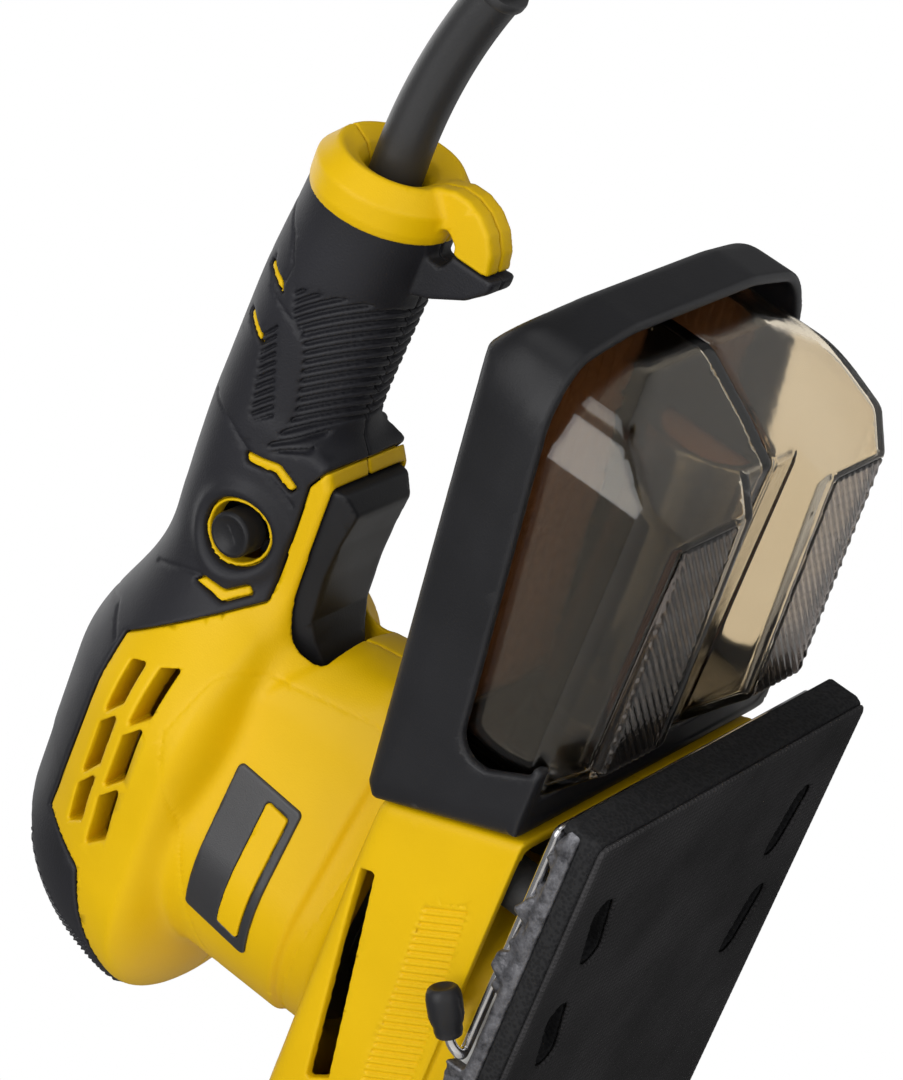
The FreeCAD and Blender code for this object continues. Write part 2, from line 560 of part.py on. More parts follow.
def bell_points(shrink):
    """Rounded rectangle of the dust bell, seen from above."""
    points = []
    long, half, corner, steps = 40, 39, 26, 3
    for centre_x, centre_y, start in ((long - corner, half - corner, 0), (corner - long, half - corner, 90),
                                      (corner - long, corner - half, 180), (long - corner, corner - half, 270)):
        for i in range(steps + 1):
            angle = math.radians(start + 90 * i / steps)
            points.append((f"{centre_x} + ({corner} - {shrink}) * {round(math.cos(angle), 4)}",
                           f"{centre_y} + ({corner} - {shrink}) * {round(math.sin(angle), 4)}"))
    return points


def grip_zone(name):
    """Where the rubber lies: the handle, the crown of the head and a strip down its nose."""
    return fuse(name, [bar(name + "_handle", "ring_start - 58", "40", "60", "58", "85"),
                       bar(name + "_cap", "140", "40", "40", "-80", "grip_cap_z"),
                       bar(name + "_nose", "55", "15", "60", "-80", "90")])


def grip_space():
    """Everything that the rubber layer takes from the hard shell."""
    layer = cut("grip_room_all", upper_body("grip_room_outside", "-0.5"),
                [upper_body("grip_room_inside", "grip_thick")])
    room = common("grip_room", [layer, grip_zone("grip_room_zone")])
    return cut("grip_room_less_guard", room, [guard("guard_room")])


# ---------------------------------------------------------------- controls and trim
def controls():
    keep("switch_body", bar("switch_block", "switch_long", "switch_half", "switch_tall", "switch_x",
                            "handle_z - switch_tall / 2"))
    lever = prism("trigger_lever", "XZ_Plane", [
        ("42.5", "98.5"), ("40.4", "92"), ("41.4", "86.4"), ("44.5", "84.2"), ("51", "87"), ("60", "87.6"),
        ("70", "86.2"), ("77", "85.6"), ("79.4", "88.5"), ("79.4", "96.5"), ("76", "100.5"), ("45", "100.8")],
        "2 * trigger_half")
    keep("trigger", cut("trigger_form", lever, [rod("pivot_way", "pivot_radius + 0.05", "40", "pivot_x",
                                                    "-20", "pivot_z", "y")]))
    keep("trigger_pin", rod("trigger_pin_rod", "pivot_radius", "2 * (trigger_half + 2.5)", "pivot_x",
                            "-trigger_half - 2.5", "pivot_z", "y"))
    keep("trigger_spring", pipe("spring_coil", "2.4", "1.6", "2.9", "70", 0, "100.6"))
    button = fuse("lock_button_form", [
        rod("lock_cap", "lock_radius", "5", "lock_x", "-17.5", "lock_z", "y"),
        rod("lock_stem", "2.2", "5.2", "lock_x", "-14.2", "lock_z", "y")])
    dish = turned("lock_dish", [("0", "0"), ("3.8", "0"), ("2.6", "0.7"), ("0", "1.1")],
                  "lock_x", "-17.5", "lock_z", "y")
    keep("lock_button", cut("lock_button_dished", button, [dish]))
    keep("lock_spring", pipe("lock_coil", "3.8", "3", "6.7", "lock_x", "-12.3", "lock_z", "y"))


def badges():
    """Plain name plates that follow the motor body's sides."""
    for name, low_y in (("left", "-50"), ("right", "0")):
        zone = box(f"badge_{name}_zone", "34", "50", "17.5", "-9", low_y, "69")
        skin = cut(f"badge_{name}_skin", motor_body(f"badge_{name}_outside", "-1.1", "60"),
                   [motor_body(f"badge_{name}_inside", "0", "50")])
        keep(f"badge_{name}", common(f"badge_{name}_plate", [skin, zone]))


# ---------------------------------------------------------------- dust canister
def canister_side(name, shrink, half):
    """Side outline of the lid, from its leaning front to its upturned tail."""
    return prism(name, "XZ_Plane", [
        (f"63.2 + {shrink}", "18.6"), (f"50.7 + {shrink}", "48.7"), (f"53.5 + {shrink}", f"51 - {shrink}"),
        (f"143 - {shrink} * 0.5", f"62.5 - {shrink}"), (f"154.5 - {shrink}", f"55.5 - {shrink} * 0.5"),
        (f"154.5 - {shrink}", "45.6"), ("145", "44.2"), ("77", "36"), ("77", "18.6")], f"2 * ({half})")


def canister_plan(name, half, rear, shrink):
    """Seen from above: straight sides and rounded rear corners."""
    edge = [("30", f"{half} - {shrink}"), (f"{rear} - 18", f"{half} - {shrink}"),
            (f"{rear} - 7 - {shrink} * 0.6", f"{half} - 4 - {shrink} * 0.6"),
            (f"{rear} - 2 - {shrink} * 0.9", f"{half} - 13"), (f"{rear} - {shrink}", f"{half} - 29")]
    return prism(name, "XY_Plane", [(x, f"-({y})") for x, y in edge] + edge[::-1], "300")


def canister():
    roof = prism("lid_section", "YZ_Plane", [
        ("-lid_half", "0"), ("lid_half", "0"), ("lid_half", "48"), ("lid_half - lid_chamfer", "70"),
        ("-lid_half + lid_chamfer", "70"), ("-lid_half", "48")], "500")
    outside = common("lid_outside", [canister_side("lid_profile", "0", "lid_half"), roof,
                                     canister_plan("lid_plan", "lid_half", "lid_rear", "0")])
    hollow = common("lid_hollow", [canister_side("lid_hollow_side", "lid_wall", "lid_half - lid_wall"),
                                   canister_plan("lid_hollow_plan", "lid_half", "lid_rear", "lid_wall")])
    below = box("lid_below", "300", "2 * (lid_half - lid_wall)", "40", "60", "-lid_half + lid_wall", "5")
    open_side = prism("lid_open_profile", "XZ_Plane", [
        ("63.2 + lid_wall", "10"), ("63.2 + lid_wall", "18.7"), ("77", "36.5"), ("145", "44.7"),
        ("152", "46"), ("152", "10")], "200")
    slab = common("lid_open_bottom", [
        below, canister_plan("lid_open_plan", "lid_half", "lid_rear", "lid_wall"), open_side])
    inlet = rod("lid_inlet", "duct_radius + 0.4", "30", "45", 0, "duct_z", "x")
    keep("canister_lid", cut("lid_form", outside, [hollow, slab, inlet]))

    def cup(name, shrink, lift):
        side = prism(name + "_side", "XZ_Plane", [
            (f"69.5 + {shrink}", f"44.1 + {lift}"), (f"69.5 + {shrink}", f"21 + {shrink}"),
            (f"80.5 + {shrink} * 0.4", f"11 + {shrink}"), (f"130 - {shrink} * 0.4", f"13.6 + {shrink}"),
            (f"139.5 - {shrink}", f"26.5 + {shrink} * 0.4"), (f"147.5 - {shrink}", "39.5"),
            (f"147.5 - {shrink}", f"52.1 + {lift}")], "300")
        section = prism(name + "_section", "YZ_Plane", [
            (f"-leg_outer + {shrink}", f"8 + {shrink}"),
            (f"-leg_outer + {shrink} * 0.7", f"13.4 + {shrink} * 0.7"),
            (f"-bin_half + {shrink}", "22.5"), (f"-bin_half + {shrink}", "80"),
            (f"bin_half - {shrink}", "80"), (f"bin_half - {shrink}", "22.5"),
            (f"leg_outer - {shrink} * 0.7", f"13.4 + {shrink} * 0.7"),
            (f"leg_outer - {shrink}", f"8 + {shrink}"), (f"leg_inner + {shrink}", f"8 + {shrink}"),
            (f"8 + {shrink}", f"19 + {shrink}"), (f"-8 - {shrink}", f"19 + {shrink}"),
            (f"-leg_inner - {shrink}", f"8 + {shrink}")], "500")
        plan = canister_plan(name + "_plan", "bin_half", "bin_rear", shrink)
        return common(name, [side, section, plan])

    shell = cut("bin_shell", cup("cup_outside", "0", "0"), [cup("cup_inside", "bin_wall", "5")])
    bin_way = rod("bin_inlet", "tube_radius + 0.01", "20", "60", 0, "duct_z", "x")
    keep("canister_bin", cut("bin_form", shell, [bin_way]))
    keep("dust_tube", pipe("tube", "tube_radius", "tube_radius - tube_wall", "64", "67.5", 0, "duct_z", "x"))
    keep("dust_filter", common("filter_form", [prism("filter_pad", "XZ_Plane", [
        ("70", "44.2"), ("147", "52.1"), ("147", "55.6"), ("70", "47.7")], "2 * bin_half"),
        canister_plan("filter_plan", "bin_half", "bin_rear", "0")]))
    keep("dust_duct", pipe("duct", "duct_radius", "duct_radius - tube_wall", "26", "41", 0, "duct_z", "x"))
    keep("bell_seal", common("seal_form", [
        cut("seal_wall", prism("seal_outside", "XY_Plane", bell_points("-0.6"), "200"),
            [prism("seal_inside", "XY_Plane", bell_points("2.6"), "220")]),
        bar("seal_zone", "160", "60", "3.5", "-80", "10")]))


# ---------------------------------------------------------------- cord
def cord_route(start):
    """Centre line of the loose cord, from the relief's end down to the floor and the coil."""
    floor = value("cord_radius")
    meet = value("coil_x") - math.sqrt((value("coil_radius") + value("coil_half")) ** 2
                                       - value("coil_radius") ** 2)
    return [start, Vector(212.0, 0.0, 94.1), Vector(238.0, -1.5, 72.0), Vector(256.0, -5.0, 34.0),
            Vector(277.5, -11.0, floor), Vector(meet, value("coil_y") - value("coil_radius"), floor)]


def bent_tube(label, route, radius):
    """Straight runs joined by tangent arcs, swept with a round section."""
    runs = [stop - start for start, stop in zip(route, route[1:])]
    edges = []
    begin = route[0]
    for corner, before, after in zip(route[1:-1], runs, runs[1:]):
        half_turn = before.getAngle(after) / 2
        short = min(before.Length, after.Length)
        bend = 0.45 * short / math.tan(half_turn)
        print(f"{label}: bend radius {bend:.1f} at {corner.x:.0f}, {corner.y:.0f}, {corner.z:.0f}")
        enter = corner - Vector(before).normalize() * 0.45 * short
        leave = corner + Vector(after).normalize() * 0.45 * short
        toward = (Vector(after).normalize() - Vector(before).normalize()).normalize()
        centre = corner + toward * (bend / math.cos(half_turn))
        middle = centre - toward * bend
        edges.append(Part.LineSegment(begin, enter).toShape())
        edges.append(Part.Arc(enter, middle, leave).toShape())
        begin = leave
    edges.append(Part.LineSegment(begin, route[-1]).toShape())
    path = Part.Wire(edges)
    ring = Part.Wire([Part.makeCircle(radius, route[0], runs[0])])
    solid = Part.Wire(path).makePipeShell([ring], True, True)
    expected = math.pi * radius ** 2 * path.Length
    print(f"{label}: length {path.Length:.1f}, volume {solid.Volume:.0f} against {expected:.0f}")
    if abs(solid.Volume - expected) > 0.01 * expected:
        raise ValueError(f"{label} has the wrong volume")
    return keep_shape(label, solid)


def cord():
    bend, turn = value("relief_bend"), value("relief_turn")
    mouth = value("ring_end")
    level = value("handle_z")

    def station(angle):
        """Centre and direction on the relief's curve."""
        rad = math.radians(angle)
        return (Vector(mouth + bend * math.sin(rad), 0, level - bend * (1 - math.cos(rad))),
                Vector(math.cos(rad), 0, -math.sin(rad)))

    wide, narrow = value("relief_start_radius"), value("relief_end_radius")
    rings = [Part.Wire([Part.makeCircle(wide, Vector(value("ring_start") - 4, 0, level), Vector(1, 0, 0))])]
    steps = 4
    for i in range(steps + 1):
        centre, direction = station(turn * i / steps)
        rings.append(Part.Wire([Part.makeCircle(wide + (narrow - wide) * i / steps, centre, direction)]))
    boot = Part.makeLoft(rings, True)
    inner_end = value("ring_start") - 7
    flange = Part.makeCylinder(value("tail_core") - 0.9, 3, Vector(inner_end, 0, level), Vector(1, 0, 0))
    keep_shape("strain_relief", boot.fuse(flange))
    tip, _ = station(turn)
    bent_tube("cord_lead", cord_route(tip), value("cord_radius"))
    keep("cord_inner", rod("cord_inner_rod", "cord_radius", f"{inner_end} - 84", "84", 0, "handle_z", "x"))
    keep("cord_clamp", cut("clamp_bar", box("clamp_block", "8", "17", "4", "102", "-8.5",
                                            "handle_z + cord_radius - 1"),
                           [rod("clamp_groove", "cord_radius", "20", "98", 0, "handle_z", "x")]
                           + [rod(f"clamp_hole_{side}", "1.2", "20", "106", f"{side} * 6.4", "handle_z - 1")
                              for side in (-1, 1)]))
    keep("cord_clamp_screws", fuse("clamp_screws", [
        rod(f"clamp_screw_{side}", "1.2", "7", "106", f"{side} * 6.4", "handle_z - 1") for side in (-1, 1)]))
    keep("cord_coil", pipe("coil_ring", "coil_radius + coil_half", "coil_radius - coil_half", "coil_tall",
                           "coil_x", "coil_y", 0))
    tie = cut("tie_band", box("tie_outside", "9", "2 * coil_half + 3", "coil_tall + 1.4",
                              "coil_x - 4.5", "coil_y + coil_radius - coil_half - 1.5", 0),
              [box("tie_inside", "30", "2 * coil_half + 0.6", "coil_tall", "coil_x - 15",
                   "coil_y + coil_radius - coil_half - 0.3", 0)])
    room = pipe("tie_room", "coil_radius + coil_half", "coil_radius - coil_half", "coil_tall",
                "coil_x", "coil_y", 0)
    keep("cord_tie", cut("tie_form", tie, [room]))


def plug():
    """Flat two-pin plug lying beside the coil."""
    back = value("coil_x") - math.sqrt((value("coil_radius") + value("coil_half")) ** 2
                                       - value("coil_radius") ** 2) - 5.5
    keep("plug_body", fuse("plug_form", [
        box("plug_block", "plug_long - 14", "2 * plug_half", "plug_tall", f"{back} - plug_long",
            "coil_y + coil_radius - plug_half", 0),
        rod("plug_neck", "5", "15", f"{back} - 15", "coil_y + coil_radius", "plug_tall / 2", "x")]))
    keep("plug_pins", fuse("pins", [
        rod(f"pin_{side}", "prong_radius", "prong_long", f"{back} - plug_long - prong_long",
            f"coil_y + coil_radius + {side} * 0.4 * prong_gap", "plug_tall / 2", "x") for side in (-1, 1)]))


# ---------------------------------------------------------------- build, check and write
sanding_base()
suspension()
paper_clamps()
drive()
housing()
controls()
badges()
canister()
cord()
plug()
doc.recompute()

faults = [obj.Name for obj in doc.Objects if "Invalid" in obj.State or "Error" in obj.State]
if faults:
    raise RuntimeError("failed objects: " + ", ".join(faults))
for label, obj in parts.items():
    if obj.Shape.isNull() or not obj.Shape.isValid() or not obj.Shape.Solids:
        raise RuntimeError("bad shape: " + label)

os.makedirs("parts", exist_ok=True)
for label, obj in parts.items():
    obj.Shape.exportStep(f"parts/{label}.step")
    bounds = obj.Shape.BoundBox
    print(f"{label:24s} solids {len(obj.Shape.Solids)}  x {bounds.XMin:7.1f} {bounds.XMax:7.1f}  "
          f"y {bounds.YMin:6.1f} {bounds.YMax:6.1f}  z {bounds.ZMin:6.1f} {bounds.ZMax:6.1f}")
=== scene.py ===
import functools
import json
import math

import bpy
import numpy as np
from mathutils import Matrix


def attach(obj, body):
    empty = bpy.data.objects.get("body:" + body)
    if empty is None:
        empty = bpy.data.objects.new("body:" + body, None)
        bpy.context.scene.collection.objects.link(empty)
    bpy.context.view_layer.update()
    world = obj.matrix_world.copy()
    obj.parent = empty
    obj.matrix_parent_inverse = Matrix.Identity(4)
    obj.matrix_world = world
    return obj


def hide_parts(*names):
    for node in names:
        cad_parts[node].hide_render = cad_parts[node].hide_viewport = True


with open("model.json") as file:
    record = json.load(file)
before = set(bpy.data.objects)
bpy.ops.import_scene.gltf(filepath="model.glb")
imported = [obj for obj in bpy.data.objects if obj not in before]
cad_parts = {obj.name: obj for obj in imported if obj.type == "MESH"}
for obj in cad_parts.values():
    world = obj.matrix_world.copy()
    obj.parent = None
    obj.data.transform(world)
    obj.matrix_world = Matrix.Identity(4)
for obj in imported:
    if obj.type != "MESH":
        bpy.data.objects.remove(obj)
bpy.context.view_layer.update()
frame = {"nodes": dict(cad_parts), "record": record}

import openvdb
from mathutils import Quaternion, Vector

MM = 0.001
SIDES = (("left", -1), ("right", 1))

# -------- sizes in millimetres
# These repeat the driving sizes of the part's solids.
HANDLE_Z = 112.4
RING_START, RING_END, RING_RADIUS = 135, 143, 15.5
BODY_RADIUS, BODY_BACK_RADIUS, BODY_BACK = 27, 18, 31
HEAD_FRONT, HEAD_REAR, HEAD_HALF, HEAD_Z, HEAD_UP, HEAD_DOWN = -13.8, 17.5, 33.5, 97, 41.6, 10
SKIRT_HALF, SKIRT_LOW, SKIRT_FRONT = 40.8, 17.5, -66
RUBBER = 1.6
LOCK_X, LOCK_Z = 63.3, 109
DUCT_Z = 33
CORD_RADIUS, COIL_X, COIL_Y = 3.3, 339, 22


# -------- camera
def put(name, data):
    """A new object in the scene."""
    made = bpy.data.objects.new(name, data)
    bpy.context.scene.collection.objects.link(made)
    return made


def camera():
    """Looks up at the tool from its rear left, below the pad's level, and rolled."""
    place = Vector((494.5, -629.7, -241.2)) * MM
    aim = Vector((77.7, 3.9, 75.4)) * MM
    roll = math.radians(-54.14)
    made = put("camera", bpy.data.cameras.new("camera"))
    made.data.sensor_width = 36
    made.data.lens = 143.1
    made.location = place
    made.rotation_mode = "QUATERNION"
    made.rotation_quaternion = (aim - place).to_track_quat("-Z", "Y") @ Quaternion((0, 0, 1), roll)
    bpy.context.scene.camera = made


camera()
bpy.context.scene.view_settings.view_transform = "Standard"


# -------- materials
class Look:
    """A material while it is built: its nodes, its links and its Principled node."""

    def __init__(self, name, rough, metallic=0.0, specular=0.5):
        self.material = bpy.data.materials.new(name)
        self.material.use_nodes = True
        self.nodes, self.links = self.material.node_tree.nodes, self.material.node_tree.links
        self.main = self.nodes["Principled BSDF"]
        self.main.inputs["Roughness"].default_value = rough
        self.main.inputs["Metallic"].default_value = metallic
        self.main.inputs["Specular IOR Level"].default_value = specular

    def node(self, kind, **values):
        """A new node with some of its inputs set; underscores in a name stand for spaces."""
        made = self.nodes.new("ShaderNode" + kind)
        for name, value in values.items():
            made.inputs[name.replace("_", " ")].default_value = value
        return made

    def noise(self, scale, detail=3.0, rough=0.5, stretch=(1, 1, 1)):
        """Noise in the row frame: scale is in features per metre."""
        mapping = self.node("Mapping", Scale=stretch)
        made = self.node("TexNoise", Scale=scale, Detail=detail, Roughness=rough)
        self.links.new(self.node("TexCoord").outputs["Object"], mapping.inputs["Vector"])
        self.links.new(mapping.outputs["Vector"], made.inputs["Vector"])
        return made.outputs["Fac"]

    def cells(self, scale, disorder=1.0):
        """Distance from the middle of the nearest cell, in the row frame."""
        made = self.node("TexVoronoi", Scale=scale, Randomness=disorder)
        self.links.new(self.node("TexCoord").outputs["Object"], made.inputs["Vector"])
        return made.outputs["Distance"]

    def paint(self, source, low, high, stops=(0.35, 0.65), worn=None):
        """The base colour: low to high between the source's stops, and worn along outer edges."""
        made = self.node("ValToRGB")
        for element, place, colour in zip(made.color_ramp.elements, stops, (low, high)):
            element.position = place
            element.color = (*colour, 1)
        self.links.new(source, made.inputs["Fac"])
        colour = self.rub(made.outputs["Color"], worn) if worn else made.outputs["Color"]
        self.links.new(colour, self.main.inputs["Base Color"])

    def roughen(self, source, low, high):
        """The roughness, between two values as the source goes from 0 to 1."""
        made = self.node("MapRange", To_Min=low, To_Max=high)
        self.links.new(source, made.inputs["Value"])
        self.links.new(made.outputs["Result"], self.main.inputs["Roughness"])

    def rub(self, colour, worn):
        """A colour that turns into the worn one along outer edges."""
        edge = self.node("MapRange", From_Min=0.52, From_Max=0.62)
        self.links.new(self.node("NewGeometry").outputs["Pointiness"], edge.inputs["Value"])
        mix = self.node("Mix")
        mix.data_type = "RGBA"
        self.links.new(edge.outputs["Result"], mix.inputs["Factor"])
        self.links.new(colour, mix.inputs["A"])
        mix.inputs["B"].default_value = (*worn, 1)
        return mix.outputs["Result"]

    def relief(self, *heights):
        """Bumps one on another: each height is a socket and its depth in metres."""
        last = None
        for source, depth in heights:
            made = self.node("Bump", Strength=1, Distance=depth)
            self.links.new(source, made.inputs["Height"])
            if last:
                self.links.new(last.outputs["Normal"], made.inputs["Normal"])
            last = made
        self.links.new(last.outputs["Normal"], self.main.inputs["Normal"])


def moulded(name, dark, light, rough, grain=2500, depth=0.00003, specular=0.5, dust=None):
    """Moulded plastic or rubber: fine grain, slow colour change, edges rubbed or dusty."""
    look = Look(name, rough, specular=specular)
    look.paint(look.noise(22, 4), dark, light, worn=dust)
    look.roughen(look.noise(60, 5), rough - 0.1, rough + 0.1)
    look.relief((look.noise(grain, 2), depth))
    return look.material


def metal(name, colour, rough, grain=900, depth=0.00002, stretch=(1, 1, 1)):
    """Bare metal with a mottled tone."""
    look = Look(name, rough, metallic=1.0)
    low = tuple(part * 0.75 for part in colour)
    look.paint(look.noise(grain / 6, 5, 0.6, stretch), low, colour)
    fine = look.noise(grain, 3, 0.6, stretch)
    look.roughen(fine, rough - 0.1, rough + 0.15)
    look.relief((fine, depth))
    return look.material


def cast_metal():
    """Sand-cast aluminium: grey, speckled light and dark, rough."""
    look = Look("cast_aluminium", 0.5, metallic=0.75)
    speck = look.noise(420, 6, 0.72)
    look.paint(speck, (0.05, 0.05, 0.055), (0.26, 0.26, 0.28), (0.34, 0.72))
    rough = look.noise(300, 4)
    look.roughen(rough, 0.32, 0.62)
    look.relief((rough, 0.0003), (speck, 0.0002))
    return look.material


def smoked_plastic(name, low, high):
    """Clear smoked polycarbonate with a little dust on it."""
    look = Look(name, 0.08)
    look.main.inputs["IOR"].default_value = 1.5
    look.main.inputs["Transmission Weight"].default_value = 1.0
    look.paint(look.noise(14, 4), low, high)
    look.roughen(look.noise(90, 6, 0.65), 0.03, 0.16)
    look.relief((look.noise(120, 2), 0.00006))
    return look.material


def hook_fabric():
    """Black hook fastener: rows of short bristles."""
    look = Look("hook_bristle", 0.75, specular=0.35)
    slow = look.noise(40, 5)
    look.paint(slow, (0.020, 0.019, 0.020), (0.048, 0.046, 0.048))
    look.roughen(slow, 0.55, 0.85)
    look.relief((look.cells(900, 0.15), 0.0007))
    return look.material


def foam():
    """Dark closed-cell foam with small pores on its cut edge."""
    look = Look("foam_black", 0.9, specular=0.25)
    pores = look.cells(1300)
    look.paint(pores, (0.010, 0.010, 0.011), (0.018, 0.018, 0.019))
    look.roughen(look.noise(120, 4), 0.8, 1.0)
    look.relief((pores, 0.00015))
    return look.material


def filter_paper():
    """Fibrous brown filter medium, dusty."""
    look = Look("filter_brown", 0.95, specular=0.2)
    fibre = look.noise(700, 6, 0.8, (1, 4, 4))
    look.paint(fibre, (0.13, 0.055, 0.025), (0.34, 0.17, 0.09))
    look.roughen(look.noise(80, 3), 0.85, 1.0)
    look.relief((fibre, 0.0002))
    return look.material


MATERIALS = {
    "yellow_shell": moulded("yellow_abs", (0.66, 0.405, 0.0), (0.72, 0.445, 0.001), 0.45, 3000, 0.000035,
                            specular=0.2, dust=(0.74, 0.48, 0.004)),
    "black_grip": moulded("rubber_overmould", (0.010, 0.010, 0.012), (0.016, 0.016, 0.020), 0.52, 2200,
                          0.00006, specular=0.25, dust=(0.03, 0.03, 0.034)),
    "black_plastic": moulded("black_pa", (0.008, 0.008, 0.009), (0.014, 0.014, 0.016), 0.42, 2600,
                             0.00003, specular=0.25, dust=(0.03, 0.03, 0.032)),
    "black_badge": moulded("badge_black", (0.02, 0.02, 0.022), (0.03, 0.03, 0.033), 0.38, 3500, 0.00004),
    "smoke_clear": smoked_plastic("smoked_clear", (0.74, 0.64, 0.48), (0.82, 0.73, 0.58)),
    # darker smoked tint for the ribbed leg pads: painted shade for the dark undersides of the legs
    "smoke_dark": smoked_plastic("smoked_ribs_painted_shade", (0.26, 0.22, 0.20), (0.34, 0.30, 0.27)),
    "cast_metal": cast_metal(),
    "foam": foam(),
    "hook_fabric": hook_fabric(),
    "filter_paper": filter_paper(),
    "wire_chrome": metal("bright_wire", (0.75, 0.75, 0.77), 0.18, 600, 0.00001),
    "steel": metal("ground_steel", (0.56, 0.57, 0.58), 0.3, 1500, 0.00002, (1, 1, 8)),
    "iron_core": metal("lamination", (0.30, 0.30, 0.31), 0.45, 1600, 0.00006, (0.1, 0.1, 3)),
    "copper": metal("commutator_copper", (0.72, 0.33, 0.17), 0.3, 1200, 0.00002, (1, 1, 0.2)),
    "carbon": moulded("brush_carbon", (0.02, 0.02, 0.02), (0.05, 0.05, 0.05), 0.7, 1800, 0.00008),
    "brass_sleeve": metal("brass", (0.70, 0.52, 0.22), 0.3),
    "post_rubber": moulded("post_black", (0.016, 0.016, 0.016), (0.03, 0.03, 0.03), 0.65, 1500, 0.00006),
    "seal_felt": moulded("felt_grey", (0.42, 0.42, 0.41), (0.66, 0.66, 0.64), 0.92, 900, 0.0003),
    "cord_rubber": moulded("cord_black", (0.012, 0.012, 0.013), (0.022, 0.022, 0.023), 0.44, 1800, 0.00004),
    "tie_plastic": moulded("tie_black", (0.02, 0.02, 0.02), (0.035, 0.035, 0.035), 0.5, 2000, 0.00003),
}


# -------- the cord
def spline(name, points):
    """A NURBS curve of order 3 that ends on its end points."""
    curve = bpy.data.curves.new(name, "CURVE")
    curve.dimensions = "3D"
    line = curve.splines.new("NURBS")
    line.points.add(len(points) - 1)
    for place, point in zip(line.points, points):
        place.co = (*(Vector(point) * MM), 1)
    line.order_u = 3
    line.use_endpoint_u = True
    line.resolution_u = 10
    return put(name, curve)


CORD_ROUTE = [(182.33, 0, 105.46), (212.0, 0, 94.1), (238.0, -1.5, 72.0), (256.0, -5.0, 34.0),
              (277.5, -11.0, 3.3), (309.67, -16, 3.3)]
PLUG_END = [(321, 62.0, 13.4), (303, 60, 7)]
# radius and level of each turn of the coil: two on the floor, three on them, two on top
COIL_LEVELS = [(33.3, 3.3), (40.0, 3.6), (45.0, 9.2), (38.4, 9.8), (31.8, 10.0), (33.6, 15.9), (40.6, 16.4)]
COIL_TURNS, COIL_STEPS = 7.5, 14


def coil_turns():
    """Turns of the put-away cord, each easing into the next one's radius and level."""
    points = []
    last = len(COIL_LEVELS) - 1
    for step in range(int(COIL_TURNS * COIL_STEPS) + 1):
        angle = 2 * math.pi * step / COIL_STEPS
        turn = step / COIL_STEPS - 0.5
        lower = min(max(int(math.floor(turn)), 0), last)
        upper = min(lower + 1, last)
        blend = min(max(turn - lower, 0), 1)
        blend = blend * blend * (3 - 2 * blend)
        radius, level = (a + (b - a) * blend for a, b in zip(COIL_LEVELS[lower], COIL_LEVELS[upper]))
        points.append((COIL_X + radius * math.sin(angle), COIL_Y - radius * math.cos(angle), level))
    return points


def cord():
    """The mains lead, from the end of its strain relief through the coil to the plug."""
    made = spline("cord", CORD_ROUTE + coil_turns() + PLUG_END)
    made.data.bevel_depth = CORD_RADIUS * MM
    made.data.bevel_resolution = 4
    made.data.use_fill_caps = True
    made.data.materials.append(MATERIALS["cord_rubber"])
    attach(made, "housing")
    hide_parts("cord_lead", "cord_coil")


cord()


# -------- stage
FLOOR_HALF, FLOOR_GAP, FLOOR_GLOW = 2.0, 0.0002, 0.12


def switch(nodes, links, signals, shaders, end):
    """Shows the first shader while both signals are 0, and the second once either is 1."""
    either, mix = nodes.new("ShaderNodeMath"), nodes.new("ShaderNodeMixShader")
    either.operation = "MAXIMUM"
    for source, place in zip((*signals, *shaders), (*either.inputs[:2], *mix.inputs[1:])):
        links.new(source, place)
    links.new(either.outputs[0], mix.inputs["Fac"])
    links.new(mix.outputs["Shader"], end.inputs["Surface"])


def stage():
    """White ground, seen from above only, so that the view from below stays open."""
    mesh = bpy.data.meshes.new("floor")
    corners = [(x * FLOOR_HALF, y * FLOOR_HALF, 0) for x, y in ((-1, -1), (1, -1), (1, 1), (-1, 1))]
    mesh.from_pydata(corners, [], [(0, 1, 2, 3)])
    floor = put("floor", mesh)
    floor.location.z = -FLOOR_GAP
    look = Look("floor_white", 0.7)
    look.paint(look.noise(3, 2), (0.86, 0.86, 0.86), (0.9, 0.9, 0.9))
    look.main.inputs["Emission Color"].default_value = (1, 1, 1, 1)
    look.main.inputs["Emission Strength"].default_value = FLOOR_GLOW
    signals = look.node("NewGeometry").outputs["Backfacing"], look.node("LightPath").outputs["Is Shadow Ray"]
    shaders = look.main.outputs["BSDF"], look.node("BsdfTransparent").outputs["BSDF"]
    switch(look.nodes, look.links, signals, shaders, look.nodes["Material Output"])
    mesh.materials.append(look.material)


# name, place and size in metres, power in watts
LIGHTS = [("key", (0.35, -1.1, 0.3), 1.1, 11),
          ("top", (-0.2, 0.4, 1.1), 0.9, 4),
          ("below", (0.7, -0.7, -0.7), 0.8, 4.5),
          ("tail", (1.0, -0.2, 0.5), 0.5, 1.5)]
LIGHT_AIM = (0.05, 0, 0.07)


def soft_light(name, place, size, power):
    """A square soft box aimed at the middle of the tool."""
    data = bpy.data.lights.new(name, "AREA")
    data.size = size
    data.energy = power
    made = put(name, data)
    made.location = place
    made.rotation_euler = (Vector(LIGHT_AIM) - Vector(place)).to_track_quat("-Z", "Y").to_euler()


def surroundings():
    """White to the eye and through clear plastic, but only a faint light on the tool."""
    world = bpy.data.worlds.new("studio")
    bpy.context.scene.world = world
    world.use_nodes = True
    nodes, links = world.node_tree.nodes, world.node_tree.links
    back, seen = nodes["Background"], nodes.new("ShaderNodeBackground")
    for node, strength in ((back, 0.2), (seen, 1.0)):
        node.inputs["Color"].default_value = (1, 1, 1, 1)
        node.inputs["Strength"].default_value = strength
    path = nodes.new("ShaderNodeLightPath").outputs
    signals = path["Is Camera Ray"], path["Is Transmission Ray"]
    shaders = back.outputs["Background"], seen.outputs["Background"]
    switch(nodes, links, signals, shaders, nodes["World Output"])


stage()
surroundings()
for row in LIGHTS:
    soft_light(*row)


